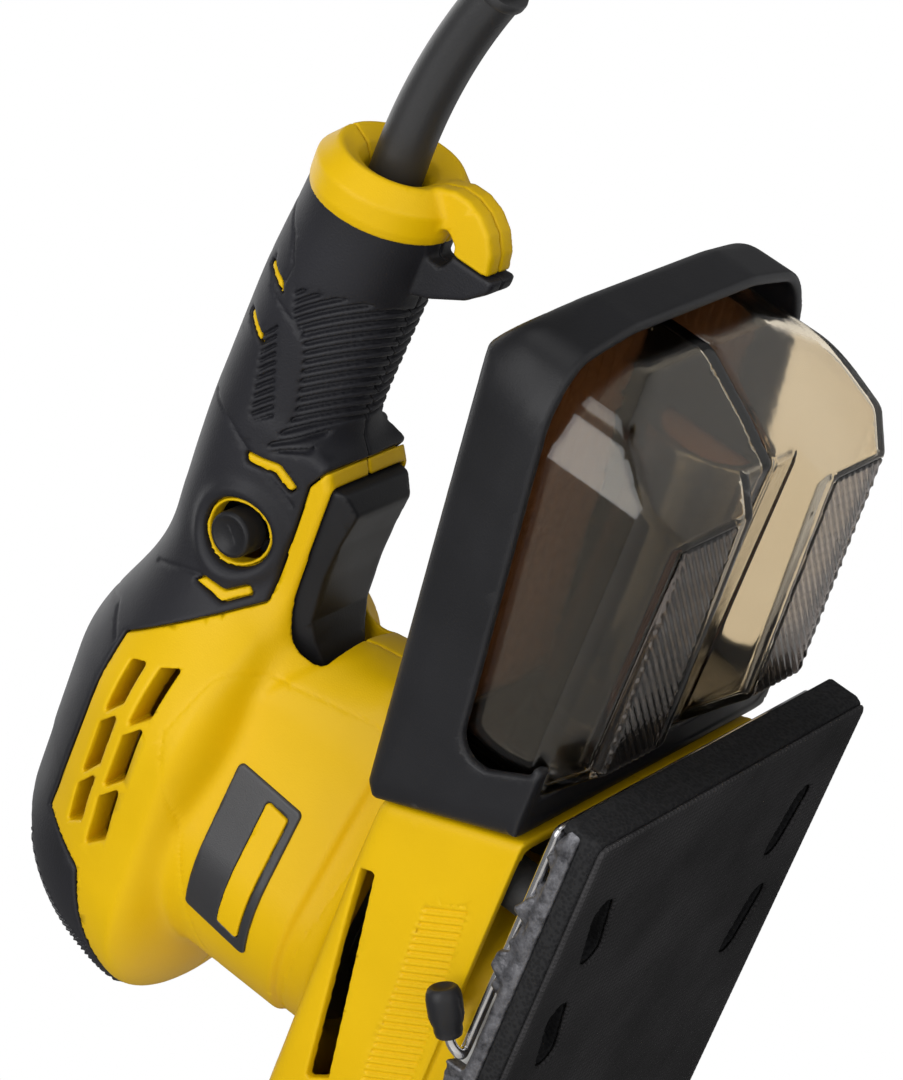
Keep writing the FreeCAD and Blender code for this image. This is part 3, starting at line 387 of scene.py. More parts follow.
# -------- distance fields
# A shape is an array of distances in millimetres to its surface: below zero is inside it.
# Distances past FAR aren't kept. VOXEL is the usual step between grid points.
FAR = 4.0
VOXEL = 0.5
NOWHERE = 1e6


class Grid:
    """Points of a regular grid, as coordinates that broadcast against one another."""

    def __init__(self, low, high, step=VOXEL):
        """Spans two corners, given as (x, y, z)."""
        axes = [np.arange(a, b + step, step, dtype=np.float32) for a, b in zip(low, high)]
        self.low, self.step = np.array(low, float), step
        self.axes = (axes[0][:, None, None], axes[1][None, :, None], axes[2][None, None, :])
        self.shape = tuple(len(axis) for axis in axes)


def inset(points, depth):
    """A closed outline moved inwards."""
    corners = [np.array(point, float) for point in points]
    loop = list(zip(corners[-1:] + corners[:-1], corners, corners[1:] + corners[:1]))
    turn = math.copysign(1, sum(a[0] * b[1] - a[1] * b[0] for _, a, b in loop))
    moved = []
    for before, at, after in loop:
        first = (at - before) / np.linalg.norm(at - before)
        second = (after - at) / np.linalg.norm(after - at)
        across = turn * np.array([-first[1] - second[1], first[0] + second[0]])
        moved.append(tuple(at + depth * across / (1 + first @ second)))
    return moved


def from_run(start, end, u, v):
    """Squared distance to the straight run between two points."""
    ex, ey = end[0] - start[0], end[1] - start[1]
    along = np.clip(((u - start[0]) * ex + (v - start[1]) * ey) / (ex * ex + ey * ey), 0, 1)
    return (u - start[0] - ex * along) ** 2 + (v - start[1] - ey * along) ** 2


def outline(points, u, v, radius=0.0):
    """Inside a closed outline with rounded outer corners."""
    points = inset(points, radius) if radius else list(points)
    shape = np.broadcast(u, v).shape
    inside = np.zeros(shape, bool)
    near = np.full(shape, NOWHERE, np.float32)
    for (ax, ay), (bx, by) in zip(points, points[1:] + points[:1]):
        near = np.minimum(near, from_run((ax, ay), (bx, by), u, v))
        if by - ay:
            inside ^= ((ay > v) != (by > v)) & (u < ax + (v - ay) * (bx - ax) / (by - ay))
    return np.where(inside, -1, 1) * np.sqrt(near) - radius


def stroke(points, u, v):
    """Distance to an open line of points."""
    near = NOWHERE
    for start, end in zip(points, points[1:]):
        near = np.minimum(near, from_run(start, end, u, v))
    return np.sqrt(near)


def join(a, b, soft=0.0):
    """Both shapes, with a fillet between them."""
    if not soft:
        return np.minimum(a, b)
    blend = np.clip(0.5 + 0.5 * (b - a) / soft, 0, 1)
    return b + (a - b) * blend - soft * blend * (1 - blend)


def both(a, b, soft=0.0):
    """Where the shapes overlap, with the edge between them rounded."""
    return -join(-a, -b, soft)


def less(a, b, soft=0.0):
    """The first shape without the second."""
    return both(a, -b, soft)


def within(*shapes):
    """Where all the shapes overlap, with sharp edges."""
    return functools.reduce(np.maximum, shapes)


def slab(flat, across, half, edge=0.0):
    """A flat outline given thickness, with its rims rounded."""
    a, b = flat + edge, np.abs(across) - half + edge
    return np.minimum(np.maximum(a, b), 0) + np.hypot(np.maximum(a, 0), np.maximum(b, 0)) - edge


def block(x, y, z, low, high, edge=0.0):
    """A box with rounded edges."""
    parts = [np.abs(c - (a + b) / 2) - (b - a) / 2 + edge for c, a, b in zip((x, y, z), low, high)]
    outside = np.sqrt(sum(np.maximum(part, 0) ** 2 for part in parts))
    return outside + np.minimum(within(*parts), 0) - edge


def smooth_line(places, values, at, reach=6.0, count=13):
    """Values between given places, with the corners of the line smoothed."""
    offsets = np.linspace(-reach, reach, count)
    return sum(np.interp(at + offset, places, values) for offset in offsets) / len(offsets)


def sample(values, spots):
    """Values of a field between grid points."""
    top = np.array(values.shape) - 2
    base = np.clip(np.floor(spots).astype(int), 0, top)
    part = spots - base
    total = 0
    for corner in np.ndindex(2, 2, 2):
        weight = np.prod(np.where(corner, part, 1 - part), axis=1)
        i, j, k = (base + corner).T
        total = total + weight * values[i, j, k]
    return total


def add_piece(name, mesh, body, slot, material, replaces):
    """Puts a mesh into the model as a named piece that rides on a body."""
    mesh.materials.append(material or MATERIALS[slot])
    made = put(name, mesh)
    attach(made, body)
    if replaces:
        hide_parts(*replaces)
    return made


NORMAL_REACH = 0.8  # in grid steps, to each side


def solid(name, grid, shape, body, slot, material=None, replaces=(), mirrored=False, detail=0.01):
    """Meshes a field, gives it the field's own normals, and puts it into the model."""
    values = np.ascontiguousarray(np.clip(np.broadcast_to(shape, grid.shape), -FAR, FAR), dtype=np.float32)
    volume = openvdb.FloatGrid(background=FAR)
    volume.copyFromArray(values, tolerance=0)
    spots, triangles, quads = volume.convertToPolygons(isovalue=0, adaptivity=detail)
    slopes = []
    for axis in range(3):
        step = np.zeros(3)
        step[axis] = NORMAL_REACH
        slopes.append(sample(values, spots + step) - sample(values, spots - step))
    normals = np.stack(slopes, 1)
    normals /= np.maximum(np.linalg.norm(normals, axis=1, keepdims=True), 1e-9)
    places = (grid.low + spots * grid.step) * MM
    faces = [tuple(face) for face in triangles.tolist()] + [tuple(face) for face in quads.tolist()]
    if mirrored:
        places[:, 1] *= -1
        normals[:, 1] *= -1
    mesh = bpy.data.meshes.new(name)
    mesh.from_pydata(places.tolist(), [], faces)
    mesh.validate()
    facing = sum(Vector(normals[face.vertices[0]]).dot(face.normal) for face in mesh.polygons[:200])
    if facing < 0:
        mesh.flip_normals()
    mesh.shade_smooth()
    mesh.normals_split_custom_set_from_vertices(normals.tolist())
    return add_piece(name, mesh, body, slot, material, replaces)


# -------- housing
# Outlines are (x, z) pairs unless a comment says otherwise.
RUBBER_EDGE = [(136, 146), (136, 80), (84.2, 80), (84.2, 96.8), (79.6, 99.2), (53.2, 98.0), (33.5, 120.3),
               (-9.9, 121.6), (-14, 108), (-26, 103.5), (-40, 96.5), (-50, 97), (-62, 96), (-62, 146)]
ACCENTS = [[(115.6, 124.2), (114.6, 119.6), (112.8, 118.2), (113.2, 119.6), (114.6, 124.4)],
           [(104.4, 124.6), (102.4, 119.8), (101.0, 119.0), (101.4, 120.4), (103.2, 124.8)],
           [(79.6, 113.0), (80.4, 106.2), (77.8, 101.8), (76.4, 102.6), (78.6, 106.6), (78.0, 112.2)],
           [(50.4, 112.2), (49.8, 105.4), (53.4, 101.4), (54.6, 102.6), (51.6, 106.0), (51.8, 111.0)]]
VENTS = [[(31.5, 115.4), (33.5, 111.6), (24.5, 111.6), (19.0, 115.6)],
         [(16.6, 115.8), (21.6, 111.8), (9.8, 111.6), (3.4, 115.8)],
         [(1.0, 115.8), (6.8, 111.8), (-4.6, 111.4), (-7.8, 115.0)],
         [(34.5, 108.2), (37.0, 104.0), (26.4, 104.0), (21.4, 108.4)],
         [(19.0, 108.6), (24.0, 104.4), (11.4, 104.2), (6.0, 108.8)],
         [(3.4, 109.0), (8.8, 104.6), (-3.4, 103.8), (-8.0, 108.2)]]
HOOK_ARM = [(134, 105), (140.6, 105), (143.8, 101.4), (145.3, 97.6), (145.3, 94), (144, 90.4), (141.5, 87.4),
            (138, 85.4), (131.6, 84.2), (129, 93.5), (131, 102)]
HOOK_EYE = [(130.2, 98.4), (130.4, 94.4), (133.2, 93.0), (135.6, 93.3), (137.5, 95.6), (137.4, 98.4)]
HOOK_CLAW = [(120.6, 101.5), (123.0, 94.8), (127.2, 87.4), (131.2, 83.2), (139.0, 82.8), (142.8, 86.6),
             (140, 93.2), (134.8, 102)]
HOOK_HALF, PANEL_RISE, RUBBER_PROUD, LINE_PITCH, LINE_DEPTH = 4, 1.0, 0.35, 1.75, 0.55
BODY_BLEND, HEAD_BLEND, BAR_BLEND, GUARD_BLEND, NECK_BLEND = 7, 4, 14, 5, 9
BUTTON_HOLE, RUBBER_HOLE, RIGHT_COVER, DUCT_HOLE, BOOT_HOLE = 6.2, 6.9, 9.5, 12, 5.5
LIP_RADIUS, LIP_WIDTH, LIP_HEIGHT, SEAM_RADIUS, CREASE_RADIUS = 8.8, 1.6, 0.9, 0.42, 0.28
WALL_LEVELS, WALLS, VENT_WALL = (55, 70), (2.5, 4.1), 7.0
VENT_BLOCK = (-12, 10, 97), (42, 40, 121)
DECK_Z, DECK_HALF, DECK_HOLE = 35.75, 1.25, 24.5
BELL_REACH, BELL_HALF, BELL_ROUND, BELL_LOW = 40, 39, 26, 13.5
SIDE_OUTLINE = [(SKIRT_FRONT, -40), (85, -40), (50, 48.5), (30, 53), (-36, 50), (SKIRT_FRONT, 37)]
SECTION = [(-60, -40), (SKIRT_HALF, -40), (SKIRT_HALF, 46.5), (27, 54), (-60, 54)]  # (across, z)
PLAN = [(90, SKIRT_HALF), (SKIRT_FRONT + 20, SKIRT_HALF), (SKIRT_FRONT, SKIRT_HALF - 17), (SKIRT_FRONT, -90),
        (90, -90)]  # (x, across)
BADGE_PANEL = [(-24, 62), (-24, 90), (31, 93), (50, 80), (50, 62)]
GUARD = [(38, 94.0), (81, 94.4), (85.5, 97.5), (87, 112), (38, 112)]
NECK = [(15, 54), (49, 56), (51, 68), (43.5, 80), (40.5, 90), (41, 104), (15, 104)]
CREASE = [(26, 100), (40, 97), (46, 66), (40, 54), (-20, 60), (-40, 70)]
TRIGGER_OPENING = [(37.2, 83), (81.4, 83), (81.4, 107), (37.2, 107)]
SIDE_SLOT = [(-12.7, 40.2), (-9.4, 35.8), (36.5, 43.0), (35.1, 46.2)]
FINE_LINES = [(-50, 27.5), (-50, 20), (8, 19.5), (44, 22.5), (38, 31)]
RING_FACE = [(5.5, RING_START - 2), (15.0, RING_START - 2), (RING_RADIUS, RING_START),
             (RING_RADIUS, RING_START + 4.4), (12.4, RING_END + 0.3), (11.6, RING_END + 0.4),
             (8.0, RING_END - 1.4), (6.4, RING_END - 3.4), (5.5, RING_END - 6)]  # (radius, x)
SEAMS = [[(128, 127), (124, 121), (119, 118), (113, 119)],
         [(117, 124), (112, 121), (108, 110)],
         [(84, 127), (83, 119), (79, 110), (74, 101)],
         [(46, 124), (50, 117), (52, 112)],
         [(30, 136), (34, 128), (31, 122)]]
# flank patches of the grip grooves, as (x, way round the handle)
GROOVES_LOW = [(116, 25), (110, 23), (107, 19.5), (103, 18.2), (92, 16.2), (88.5, 16.8), (83.5, 18.8),
               (82, 18.2), (85, 12), (91.5, 7), (92, 4), (92, -5), (117, -5), (119, 13)]
GROOVES_HIGH = [(85.5, 24), (104, 28.6), (107.6, 25.6), (89, 19.8)]
GRIP_RADIUS, GRIP_MIDDLE, GROOVE_PITCH, GROOVE_DEPTH = 15.3, 115, 2.3, 0.75
NOSE_BAND = [(-20, 129), (-52, 129), (-52, 97.6), (-41, 97.6), (-20, 106)]


def oval(x, across):
    """The motor body seen from above: wide round the spindle, narrower behind it."""
    lean = (BODY_RADIUS - BODY_BACK_RADIUS) / BODY_BACK
    rise = math.sqrt(1 - lean * lean)
    along = rise * x - lean * across
    front = np.hypot(across, x) - BODY_RADIUS
    back = np.hypot(across, x - BODY_BACK) - BODY_BACK_RADIUS
    return np.where(along < 0, front, np.where(along > rise * BODY_BACK, back,
                                               across * rise + x * lean - BODY_RADIUS))


def head(x, across, z):
    """Domed head over the motor, stretched along the tool."""
    reach = np.hypot(x - np.clip(x, HEAD_FRONT, HEAD_REAR), across)
    tall = np.where(z > HEAD_Z, HEAD_UP, HEAD_DOWN)
    power = 1.95  # a little less than an ellipse's 2, so a touch more pointed
    ratio = ((reach / HEAD_HALF) ** power + (np.abs(z - HEAD_Z) / tall) ** power) ** (1 / power)
    return (ratio - 1) * np.hypot(reach, z - HEAD_Z) / np.maximum(ratio, 0.05)


def grip_line(x):
    """Height of the handle's middle and its radius along the tool."""
    places = (30, 60, 80, 92, 112, 124, 135)
    return (smooth_line(places, (110, 113.4, 115.0, 115.3, 114.4, 113.4, 112.6), x),
            smooth_line(places, (18, 16.8, 15.9, 15.2, 15.3, 15.0, 14.4), x))


def housing_form(x, across, z):
    """The outside of both housing halves with their rubber on, open below."""
    skirt = both(both(outline(SIDE_OUTLINE, x, z, 4), outline(SECTION, across, z, 4), 2),
                 outline(PLAN, x, across, 8), 3)
    body = both(oval(x, across), 20 - z)
    body = both(body, z - 104)
    panel = outline(BADGE_PANEL, x, z, 4)
    body = join(body, both(oval(x, across) - PANEL_RISE, panel, 1.2), 2.2)
    level, radius = grip_line(x)
    bar = both(np.hypot(across, z - level) - radius, x - RING_START, 0.5)
    bar = both(bar, 10 - x)
    guard = slab(outline(GUARD, x, z, 2), across, 12.9, 1.8)
    neck = slab(outline(NECK, x, z, 4), across, 13, 5)
    form = join(skirt, body, BODY_BLEND)
    form = join(form, join(body, head(x, across, z), HEAD_BLEND), 2)
    form = join(form, bar, BAR_BLEND)
    form = join(form, guard, GUARD_BLEND)
    return join(form, neck, NECK_BLEND)


def hook(points, radius, x, across, z):
    """A flat piece of the hanging hook, with the eye cut out of it."""
    form = slab(outline(points, x, z, radius), across, HOOK_HALF, 0.9)
    return less(form, outline(HOOK_EYE, x, z, 1.6), 0.6)


def tail(x, across, z):
    """Ring with a wide sloping face, and the yellow arm of the hanging hook."""
    reach = np.hypot(across, z - HANDLE_Z)
    arm = hook(HOOK_ARM, 1.8, x, across, z)
    return join(outline(RING_FACE, reach, x, 0.4), np.maximum(arm, 134 - x), 1.2)


def claw(x, across, z):
    """The hook's black lower half, moulded with the rubber."""
    return np.maximum(hook(HOOK_CLAW, 2.4, x, across, z), x - 133.6)


def vents(x, across, z):
    """Slanting air slots through the side of the head."""
    openings = FAR
    for corners in VENTS:
        openings = np.minimum(openings, outline(corners, x, z, 0.4))
    return np.maximum(openings, 12 - across)


def handle_grooves(x, across, z, form):
    """Slanting grip grooves round the handle's underside and on its flank."""
    around = np.arctan2(across, GRIP_MIDDLE - z) * GRIP_RADIUS
    patches = np.minimum(outline(GROOVES_LOW, x, around, 0.6), outline(GROOVES_HIGH, x, around, 0.5))
    phase = (x - 0.2 * around + 0.0285 * around ** 2) / GROOVE_PITCH
    wave = (np.abs(phase - np.round(phase)) - 0.24) * GROOVE_PITCH
    return both(np.maximum(wave, -(form + GROOVE_DEPTH)), patches, 0.5)


def nose_ribs():
    """Fine ribs across the front of the head, proud of the rubber band."""
    grid = Grid((-49.8, -33, 96), (-19, 0.5, 131), VOXEL / 2)
    x, y, z = grid.axes
    across = np.abs(y)
    form = housing_form(x, across, z)
    turn_x, turn_z, turn_radius, pitch = -16, 93, 27, 1.3
    phase = np.arctan2(z - turn_z, turn_x - x) * turn_radius / pitch
    wave = np.abs(phase - np.round(phase)) * 2
    band = np.maximum(outline(NOSE_BAND, x, z, 1), across - 9 + (x - turn_x) * 1.3)
    ribs = both(np.maximum(form - 0.75 + 0.6 * wave, -(form + 0.6)), band, 0.5)
    ribs = np.maximum(ribs, 0.08 - across)
    for side, sign in SIDES:
        solid(f"nose_ribs_{side}", grid, ribs, "housing", "black_grip", mirrored=sign > 0, detail=0.02)


def rubber_zone(x, across, z, button):
    """Where the rubber lies: its outline, the accents, and on the side a hole for the lock button."""
    zone = outline(RUBBER_EDGE, x, z, 1)
    for accent in ACCENTS:
        zone = np.maximum(zone, -outline(accent, x, z))
    return np.where(across > 5, np.maximum(zone, RUBBER_HOLE - button), zone)


def side_lines(x, across, z, form):
    """Fine slanting lines low on the skirt's flank."""
    lines = (x + 0.62 * z) / LINE_PITCH
    fine = np.maximum((np.abs(lines - np.round(lines)) - 0.27) * LINE_PITCH, -(form + LINE_DEPTH))
    return within(fine, outline(FINE_LINES, x, z, 0.6), 30 - across)


def inner_walls(x, across, z, form):
    """The deck over the skirt and the bell round the eccentric."""
    deck = within(np.abs(z - DECK_Z) - DECK_HALF, form + 1, DECK_HOLE - np.hypot(x, across))
    bell_flat = slab(np.abs(x) - BELL_REACH, across, BELL_HALF, BELL_ROUND)
    return deck, within(np.abs(bell_flat + 1) - 1, BELL_LOW - z, z - 35)


def yellow_half(x, across, z, form, zone, button, opening):
    """One hard moulding: wall, deck, bell, ring and hook arm, with its openings cut."""
    wall = np.interp(z, WALL_LEVELS, WALLS).astype(np.float32)
    thick = np.where(block(x, across, z, *VENT_BLOCK) < 0, VENT_WALL, wall)
    hard = np.maximum(form, np.minimum(form + RUBBER, -zone))
    deck, bell = inner_walls(x, across, z, form)
    shell = join(np.maximum(hard, -(form + thick)), deck, 1)
    shell = join(np.maximum(shell, SKIRT_LOW - z), bell, 0.6)
    shell = join(shell, less(tail(x, across, z), np.hypot(across, z - HANDLE_Z) - BOOT_HOLE), 0.4)
    shell = less(shell, side_lines(x, across, z, form), 0.2)
    cuts = [slab(outline(SIDE_SLOT, x, z, 0.5), across - 40, 9), vents(x, across, z), opening,
            np.maximum(np.hypot(across, z - DUCT_Z) - DUCT_HOLE, 40 - x),
            both(button - BUTTON_HOLE, 6 - across)]
    for cut in cuts:
        shell = less(shell, cut, 0.5)
    shell = less(shell, np.hypot(outline(CREASE, x, z, 3), form) - CREASE_RADIUS)
    return np.maximum(shell, 0.12 - across)


def rubber_half(x, across, z, form, zone, button, opening):
    """One half of the overmould: raised lip round the button, grooves, seams and the hook's claw."""
    lip = LIP_HEIGHT * np.exp(-((button - LIP_RADIUS) / LIP_WIDTH) ** 2) * (across > 5)
    rubber = both(np.maximum(form - RUBBER_PROUD - lip, -(form + RUBBER - 0.02)), zone + 0.3, 0.7)
    rubber = less(rubber, handle_grooves(x, across, z, form), 0.5)
    rubber = join(rubber, claw(x, across, z), 0.8)
    for line in SEAMS:
        rubber = less(rubber, np.hypot(stroke(line, x, z), form - RUBBER_PROUD) - SEAM_RADIUS, 0.3)
    rubber = less(rubber, opening, 0.6)
    return np.maximum(rubber, 0.08 - across)


def housing():
    """Both halves: the right one mirrors the left, but is closed over the lock button's hole."""
    grid = Grid((-68, -43, 12), (145.5, 1, 142))
    x, y, z = grid.axes
    across = -y
    form = housing_form(x, across, z)
    button = np.hypot(x - LOCK_X, z - LOCK_Z)
    opening = slab(outline(TRIGGER_OPENING, x, z, 2), across, 11.6, 1)
    zone = rubber_zone(x, across, z, button)
    shell = yellow_half(x, across, z, form, zone, button, opening)
    rubber = rubber_half(x, across, z, form, zone, button, opening)
    closed = within(button - RIGHT_COVER, 8 - across, -opening)
    for side, sign in SIDES:
        solid(f"shell_{side}", grid, shell, "housing", "yellow_shell", replaces=[f"housing_{side}"],
              mirrored=sign > 0)
        solid(f"rubber_{side}", grid, rubber, "housing", "black_grip", replaces=[f"grip_{side}"],
              mirrored=sign > 0)
        shell = np.minimum(shell, within(form + RUBBER, -(form + 3.5), closed))
        rubber = np.minimum(rubber, within(form - RUBBER_PROUD, -(form + RUBBER), closed))


housing()
nose_ribs()


# -------- turned and swept pieces
def add_mesh(name, points, faces, body, slot, replaces, sharp=35):
    """Puts faces between points in millimetres into the model."""
    mesh = bpy.data.meshes.new(name)
    mesh.from_pydata([tuple(part * MM for part in point) for point in points], [], faces)
    mesh.validate()
    mesh.shade_smooth()
    mesh.set_sharp_from_angle(angle=math.radians(sharp))
    return add_piece(name, mesh, body, slot, None, replaces)


def rings_mesh(rings):
    """Points and faces that join closed rings of the same count, capped at both ends."""
    count = len(rings[0])
    points = [tuple(point) for ring in rings for point in ring]
    faces = []
    for row in range(len(rings) - 1):
        for i in range(count):
            j = (i + 1) % count
            faces.append((row * count + i, row * count + j, (row + 1) * count + j, (row + 1) * count + i))
    faces.append(tuple(range(count))[::-1])
    faces.append(tuple((len(rings) - 1) * count + i for i in range(count)))
    return points, faces


def swept(centres, radii, count):
    """Round bar along a line of centres, as points and faces."""
    centres = [Vector(centre) for centre in centres]
    rings = []
    side = None
    for i, centre in enumerate(centres):
        ahead = (centres[min(i + 1, len(centres) - 1)] - centres[max(i - 1, 0)]).normalized()
        if side is None:
            side = ahead.orthogonal().normalized()
        side = (side - ahead * side.dot(ahead)).normalized()
        up = ahead.cross(side)
        rings.append([centre + radii[i] * (math.cos(turn) * side + math.sin(turn) * up)
                      for turn in (2 * math.pi * k / count for k in range(count))])
    return rings_mesh(rings)


def turned(profile, base, axis, count=40):
    """Solid of revolution: (radius, height) pairs along an axis from a base point."""
    axis = Vector(axis).normalized()
    side = axis.orthogonal().normalized()
    up = axis.cross(side)
    rings = [[Vector(base) + axis * height + radius * (math.cos(turn) * side + math.sin(turn) * up)
              for turn in (2 * math.pi * k / count for k in range(count))] for radius, height in profile]
    return rings_mesh(rings)


def rounded_route(points, radius, steps=6):
    """A bent wire's centre line: straight runs with an arc-like blend at each corner."""
    route = [Vector(points[0])]
    for before, at, after in zip(points, points[1:], points[2:]):
        at = Vector(at)
        start = at + (Vector(before) - at).normalized() * radius
        stop = at + (Vector(after) - at).normalized() * radius
        for k in range(steps + 1):
            t = k / steps
            route.append(start * (1 - t) ** 2 + at * 2 * t * (1 - t) + stop * t ** 2)
    return route + [Vector(points[-1])]


# -------- dust canister
# (x, z) from the side, (across, z) in section and (x, across) in plan
LID_WINDOW = [(69.0, 35.0), (81.6, 12), (175, 12), (175, 47.8)]
LID_SOLID = [(63.2, 18.6), (50.7, 48.7), (53.5, 51.2), (143, 62.5), (154.5, 55.5), (154.5, -20), (63.2, -20)]
LID_SECTION = [(44, -40), (44, 48), (38, 70), (-38, 70), (-44, 48), (-44, -40)]
LID_PLAN = [(30, 44), (139, 44), (150, 37), (153.5, 20), (153.5, -20), (150, -37), (139, -44), (30, -44)]
BIN_SIDE = [(69.5, 60), (69.5, 21), (80.5, 10.8), (130, 13.4), (139.5, 26.5), (147.5, 39.5), (147.5, 60)]
BIN_SECTION = [(0, 19), (8, 19), (16, 8), (34, 8), (34, 13.4), (41, 21.6), (41, 90), (0, 90)]
BIN_PLAN = [(69.5, 41), (133, 41), (143, 35), (147.5, 20), (147.5, -20), (143, -35), (133, -41), (69.5, -41)]
BIN_START, LID_LOW, LID_RISE, LID_WALL, LID_MOUTH, BIN_MOUTH = 69.5, 18.6, 0.1026, 2.2, 12.4, 11.1
BIN_WALL, GRIP_WALL, LEG_RIB_PITCH, LEG_RIB_HEIGHT, PLEAT_PITCH, PLEAT_HEIGHT = 1.8, 0.9, 1.6, 0.45, 4.4, 2.6


def lid():
    """Black lid with a window on each side, a sill at the front and the duct's mouth in it."""
    grid = Grid((49, -45.5, 16), (156, 45.5, 65))
    x, y, z = grid.axes
    plan = outline(LID_PLAN, x, y, 11)
    section = outline(LID_SECTION, y, z, 3)
    form = both(both(outline(LID_SOLID, x, z, 1.6), section, 5.0), plan, 4.0)
    window = outline(LID_WINDOW, x, z, 5.5)
    shape = np.maximum(less(less(form, form + LID_WALL), window, 0.8), LID_LOW - z)
    sill = block(x, y, z, (64, -42.5, LID_LOW), (79, 42.5, LID_LOW + 1.8), 0.6)
    shape = join(shape, less(sill, bin_form(x, y, z) - 0.15), 0.8)
    window_line = np.hypot(window - 1.0, np.abs(y) - 44.1) - 0.55
    shape = less(shape, window_line, 0.5)
    shape = less(shape, np.maximum(np.hypot(y, z - DUCT_Z) - LID_MOUTH, x - 68), 0.4)
    solid("canister_lid_moulding", grid, shape, "canister", "black_plastic", replaces=["canister_lid"])


def leg_ribs(x, y, z):
    """Ribs across the flat bottoms of the bin's two legs, as a height, and the patch they fill."""
    run = (x * 0.62 + y * 0.78) / LEG_RIB_PITCH
    wave = np.abs(run - np.round(run)) * 2 - 0.5
    patch = both(outline([(80, 16.6), (80, 34), (129, 34), (129, 16.6)], x, np.abs(y), 1), z - 16)
    return wave * LEG_RIB_HEIGHT * np.clip(-patch / 0.6, 0, 1), patch


def bin_form(x, y, z):
    """Outside of the clear bin: two legs with a valley between them."""
    form = both(outline(BIN_SIDE, x, z, 1.2), outline(BIN_SECTION, np.abs(y), z, 0.8), 0.9)
    return both(form, outline(BIN_PLAN, x, y, 9), 1.5)


def bin_cup():
    """Clear cup, open above, with ribbed pads let into its legs, tinted darker as painted shade."""
    grid = Grid((68, -42.5, 7), (149, 42.5, 54))
    x, y, z = grid.axes
    form = bin_form(x, y, z)
    top = z - (44.1 + (x - BIN_START) * LID_RISE)
    ribs, patch = leg_ribs(x, y, z)
    shape = within(form + ribs, -(form + BIN_WALL), top)
    grips = within(form + ribs, -(form + GRIP_WALL), patch)
    # the ribbed pads get the darker smoked material, which is painted shade
    solid("dust_bin_grips", grid, grips, "canister", "smoke_clear", MATERIALS["smoke_dark"])
    shape = less(shape, both(form - 1, patch - 0.1))
    shape = less(shape, np.maximum(np.hypot(y, z - DUCT_Z) - BIN_MOUTH, x - 75))
    solid("dust_bin_clear", grid, shape, "canister", "smoke_clear", replaces=["canister_bin"])


def filter_pleats():
    """Pleats along the bin, in a flat border."""
    grid = Grid((69, -42, 43), (148.5, 42, 57))
    x, y, z = grid.axes
    slope = 44.2 + (x - 70) * LID_RISE
    plan = outline(BIN_PLAN, x, y, 9)
    fold = np.abs(y / PLEAT_PITCH - np.round(y / PLEAT_PITCH)) * 2
    lower = slope + 0.4 + PLEAT_HEIGHT * fold
    form = both(np.maximum(lower - z, z - slope - 3.4), plan + 0.3, 0.5)
    border = both(slab(plan + 0.3, z - slope - 2.2, 1.3, 0.4), -(plan + 3.6), 0.3)
    solid("pleated_filter", grid, join(form * 0.75, border, 0.3), "canister", "filter_paper",
          replaces=["dust_filter"])


def dust_inlet():
    """Clear tube down the middle of the bin, flared at its open end."""
    grid = Grid((66, -14, 19), (134, 14, 47))
    x, y, z = grid.axes
    reach = np.hypot(y, z - DUCT_Z)
    wall = [(9.8, 67.5), (11, 67.5), (11, 126), (12.4, 129), (12.4, 131.5), (9.8, 131.5)]  # (radius, x)
    solid("dust_inlet_tube", grid, outline(wall, reach, x, 0.4), "canister", "smoke_clear",
          replaces=["dust_tube"])
    flap = slab(reach - 9.6, x - 130.6, 0.5, 0.2)
    solid("dust_inlet_flap", grid, flap, "canister", "filter_paper")


# -------- pad, base casting and clamps
PAD_LOW, PAD_HIGH, PAD_HALF = -111, 76, 46
DUST_HOLES = [(51.5, 33, 14), (26.5, 33, 14), (-86.5, 33, -14), (-61.5, 33, -14)]  # x, across, lean
POSTS = [(48, 31), (48, -31), (-44, 31), (-44, -31)]  # (x, y) of the rubber posts
HUB_X, HUB_RADIUS, RAY_HALF, RAY_REACH, SLOT_RUN, SLOT_RADIUS = 1, 15, 1.3, 42, 5.25, 3.25


def holes(x, y):
    """Toed-in slots through the pad, two in each corner."""
    cut = FAR
    for centre, side, turn in DUST_HOLES:
        for sign in (1, -1):
            lean = math.radians(turn) * sign
            along = (x - centre) * math.cos(lean) + (y - sign * side) * math.sin(lean)
            across = (y - sign * side) * math.cos(lean) - (x - centre) * math.sin(lean)
            cut = np.minimum(cut, np.hypot(np.maximum(np.abs(along) - SLOT_RUN, 0), across) - SLOT_RADIUS)
    return cut


def pad_plan(x, y):
    """The pad seen from above."""
    return outline([(PAD_LOW, -PAD_HALF), (PAD_HIGH, -PAD_HALF), (PAD_HIGH, PAD_HALF), (PAD_LOW, PAD_HALF)],
                   x, y, 2.5)


def casting_ribs(x, y, z, plan):
    """Hub, rays from it, and the sockets of the posts."""
    webs = FAR
    for turn in range(0, 180, 45):
        angle = math.radians(turn + 22.5)
        webs = np.minimum(webs, np.abs(x * math.sin(angle) - y * math.cos(angle)) - RAY_HALF)
    webs = both(np.maximum(webs, np.hypot(x, y) - RAY_REACH), np.maximum(plan + 2, z - 10.5), 0.4)
    for post_x, post_y in POSTS:
        webs = np.minimum(webs, both(np.hypot(x - post_x, y - post_y) - 7.2, z - 9.5, 0.6))
    hub = both(np.hypot(x - HUB_X, y) - HUB_RADIUS, np.abs(z - 12.5) - 6, 0.8)
    return join(hub, webs, 1.5)


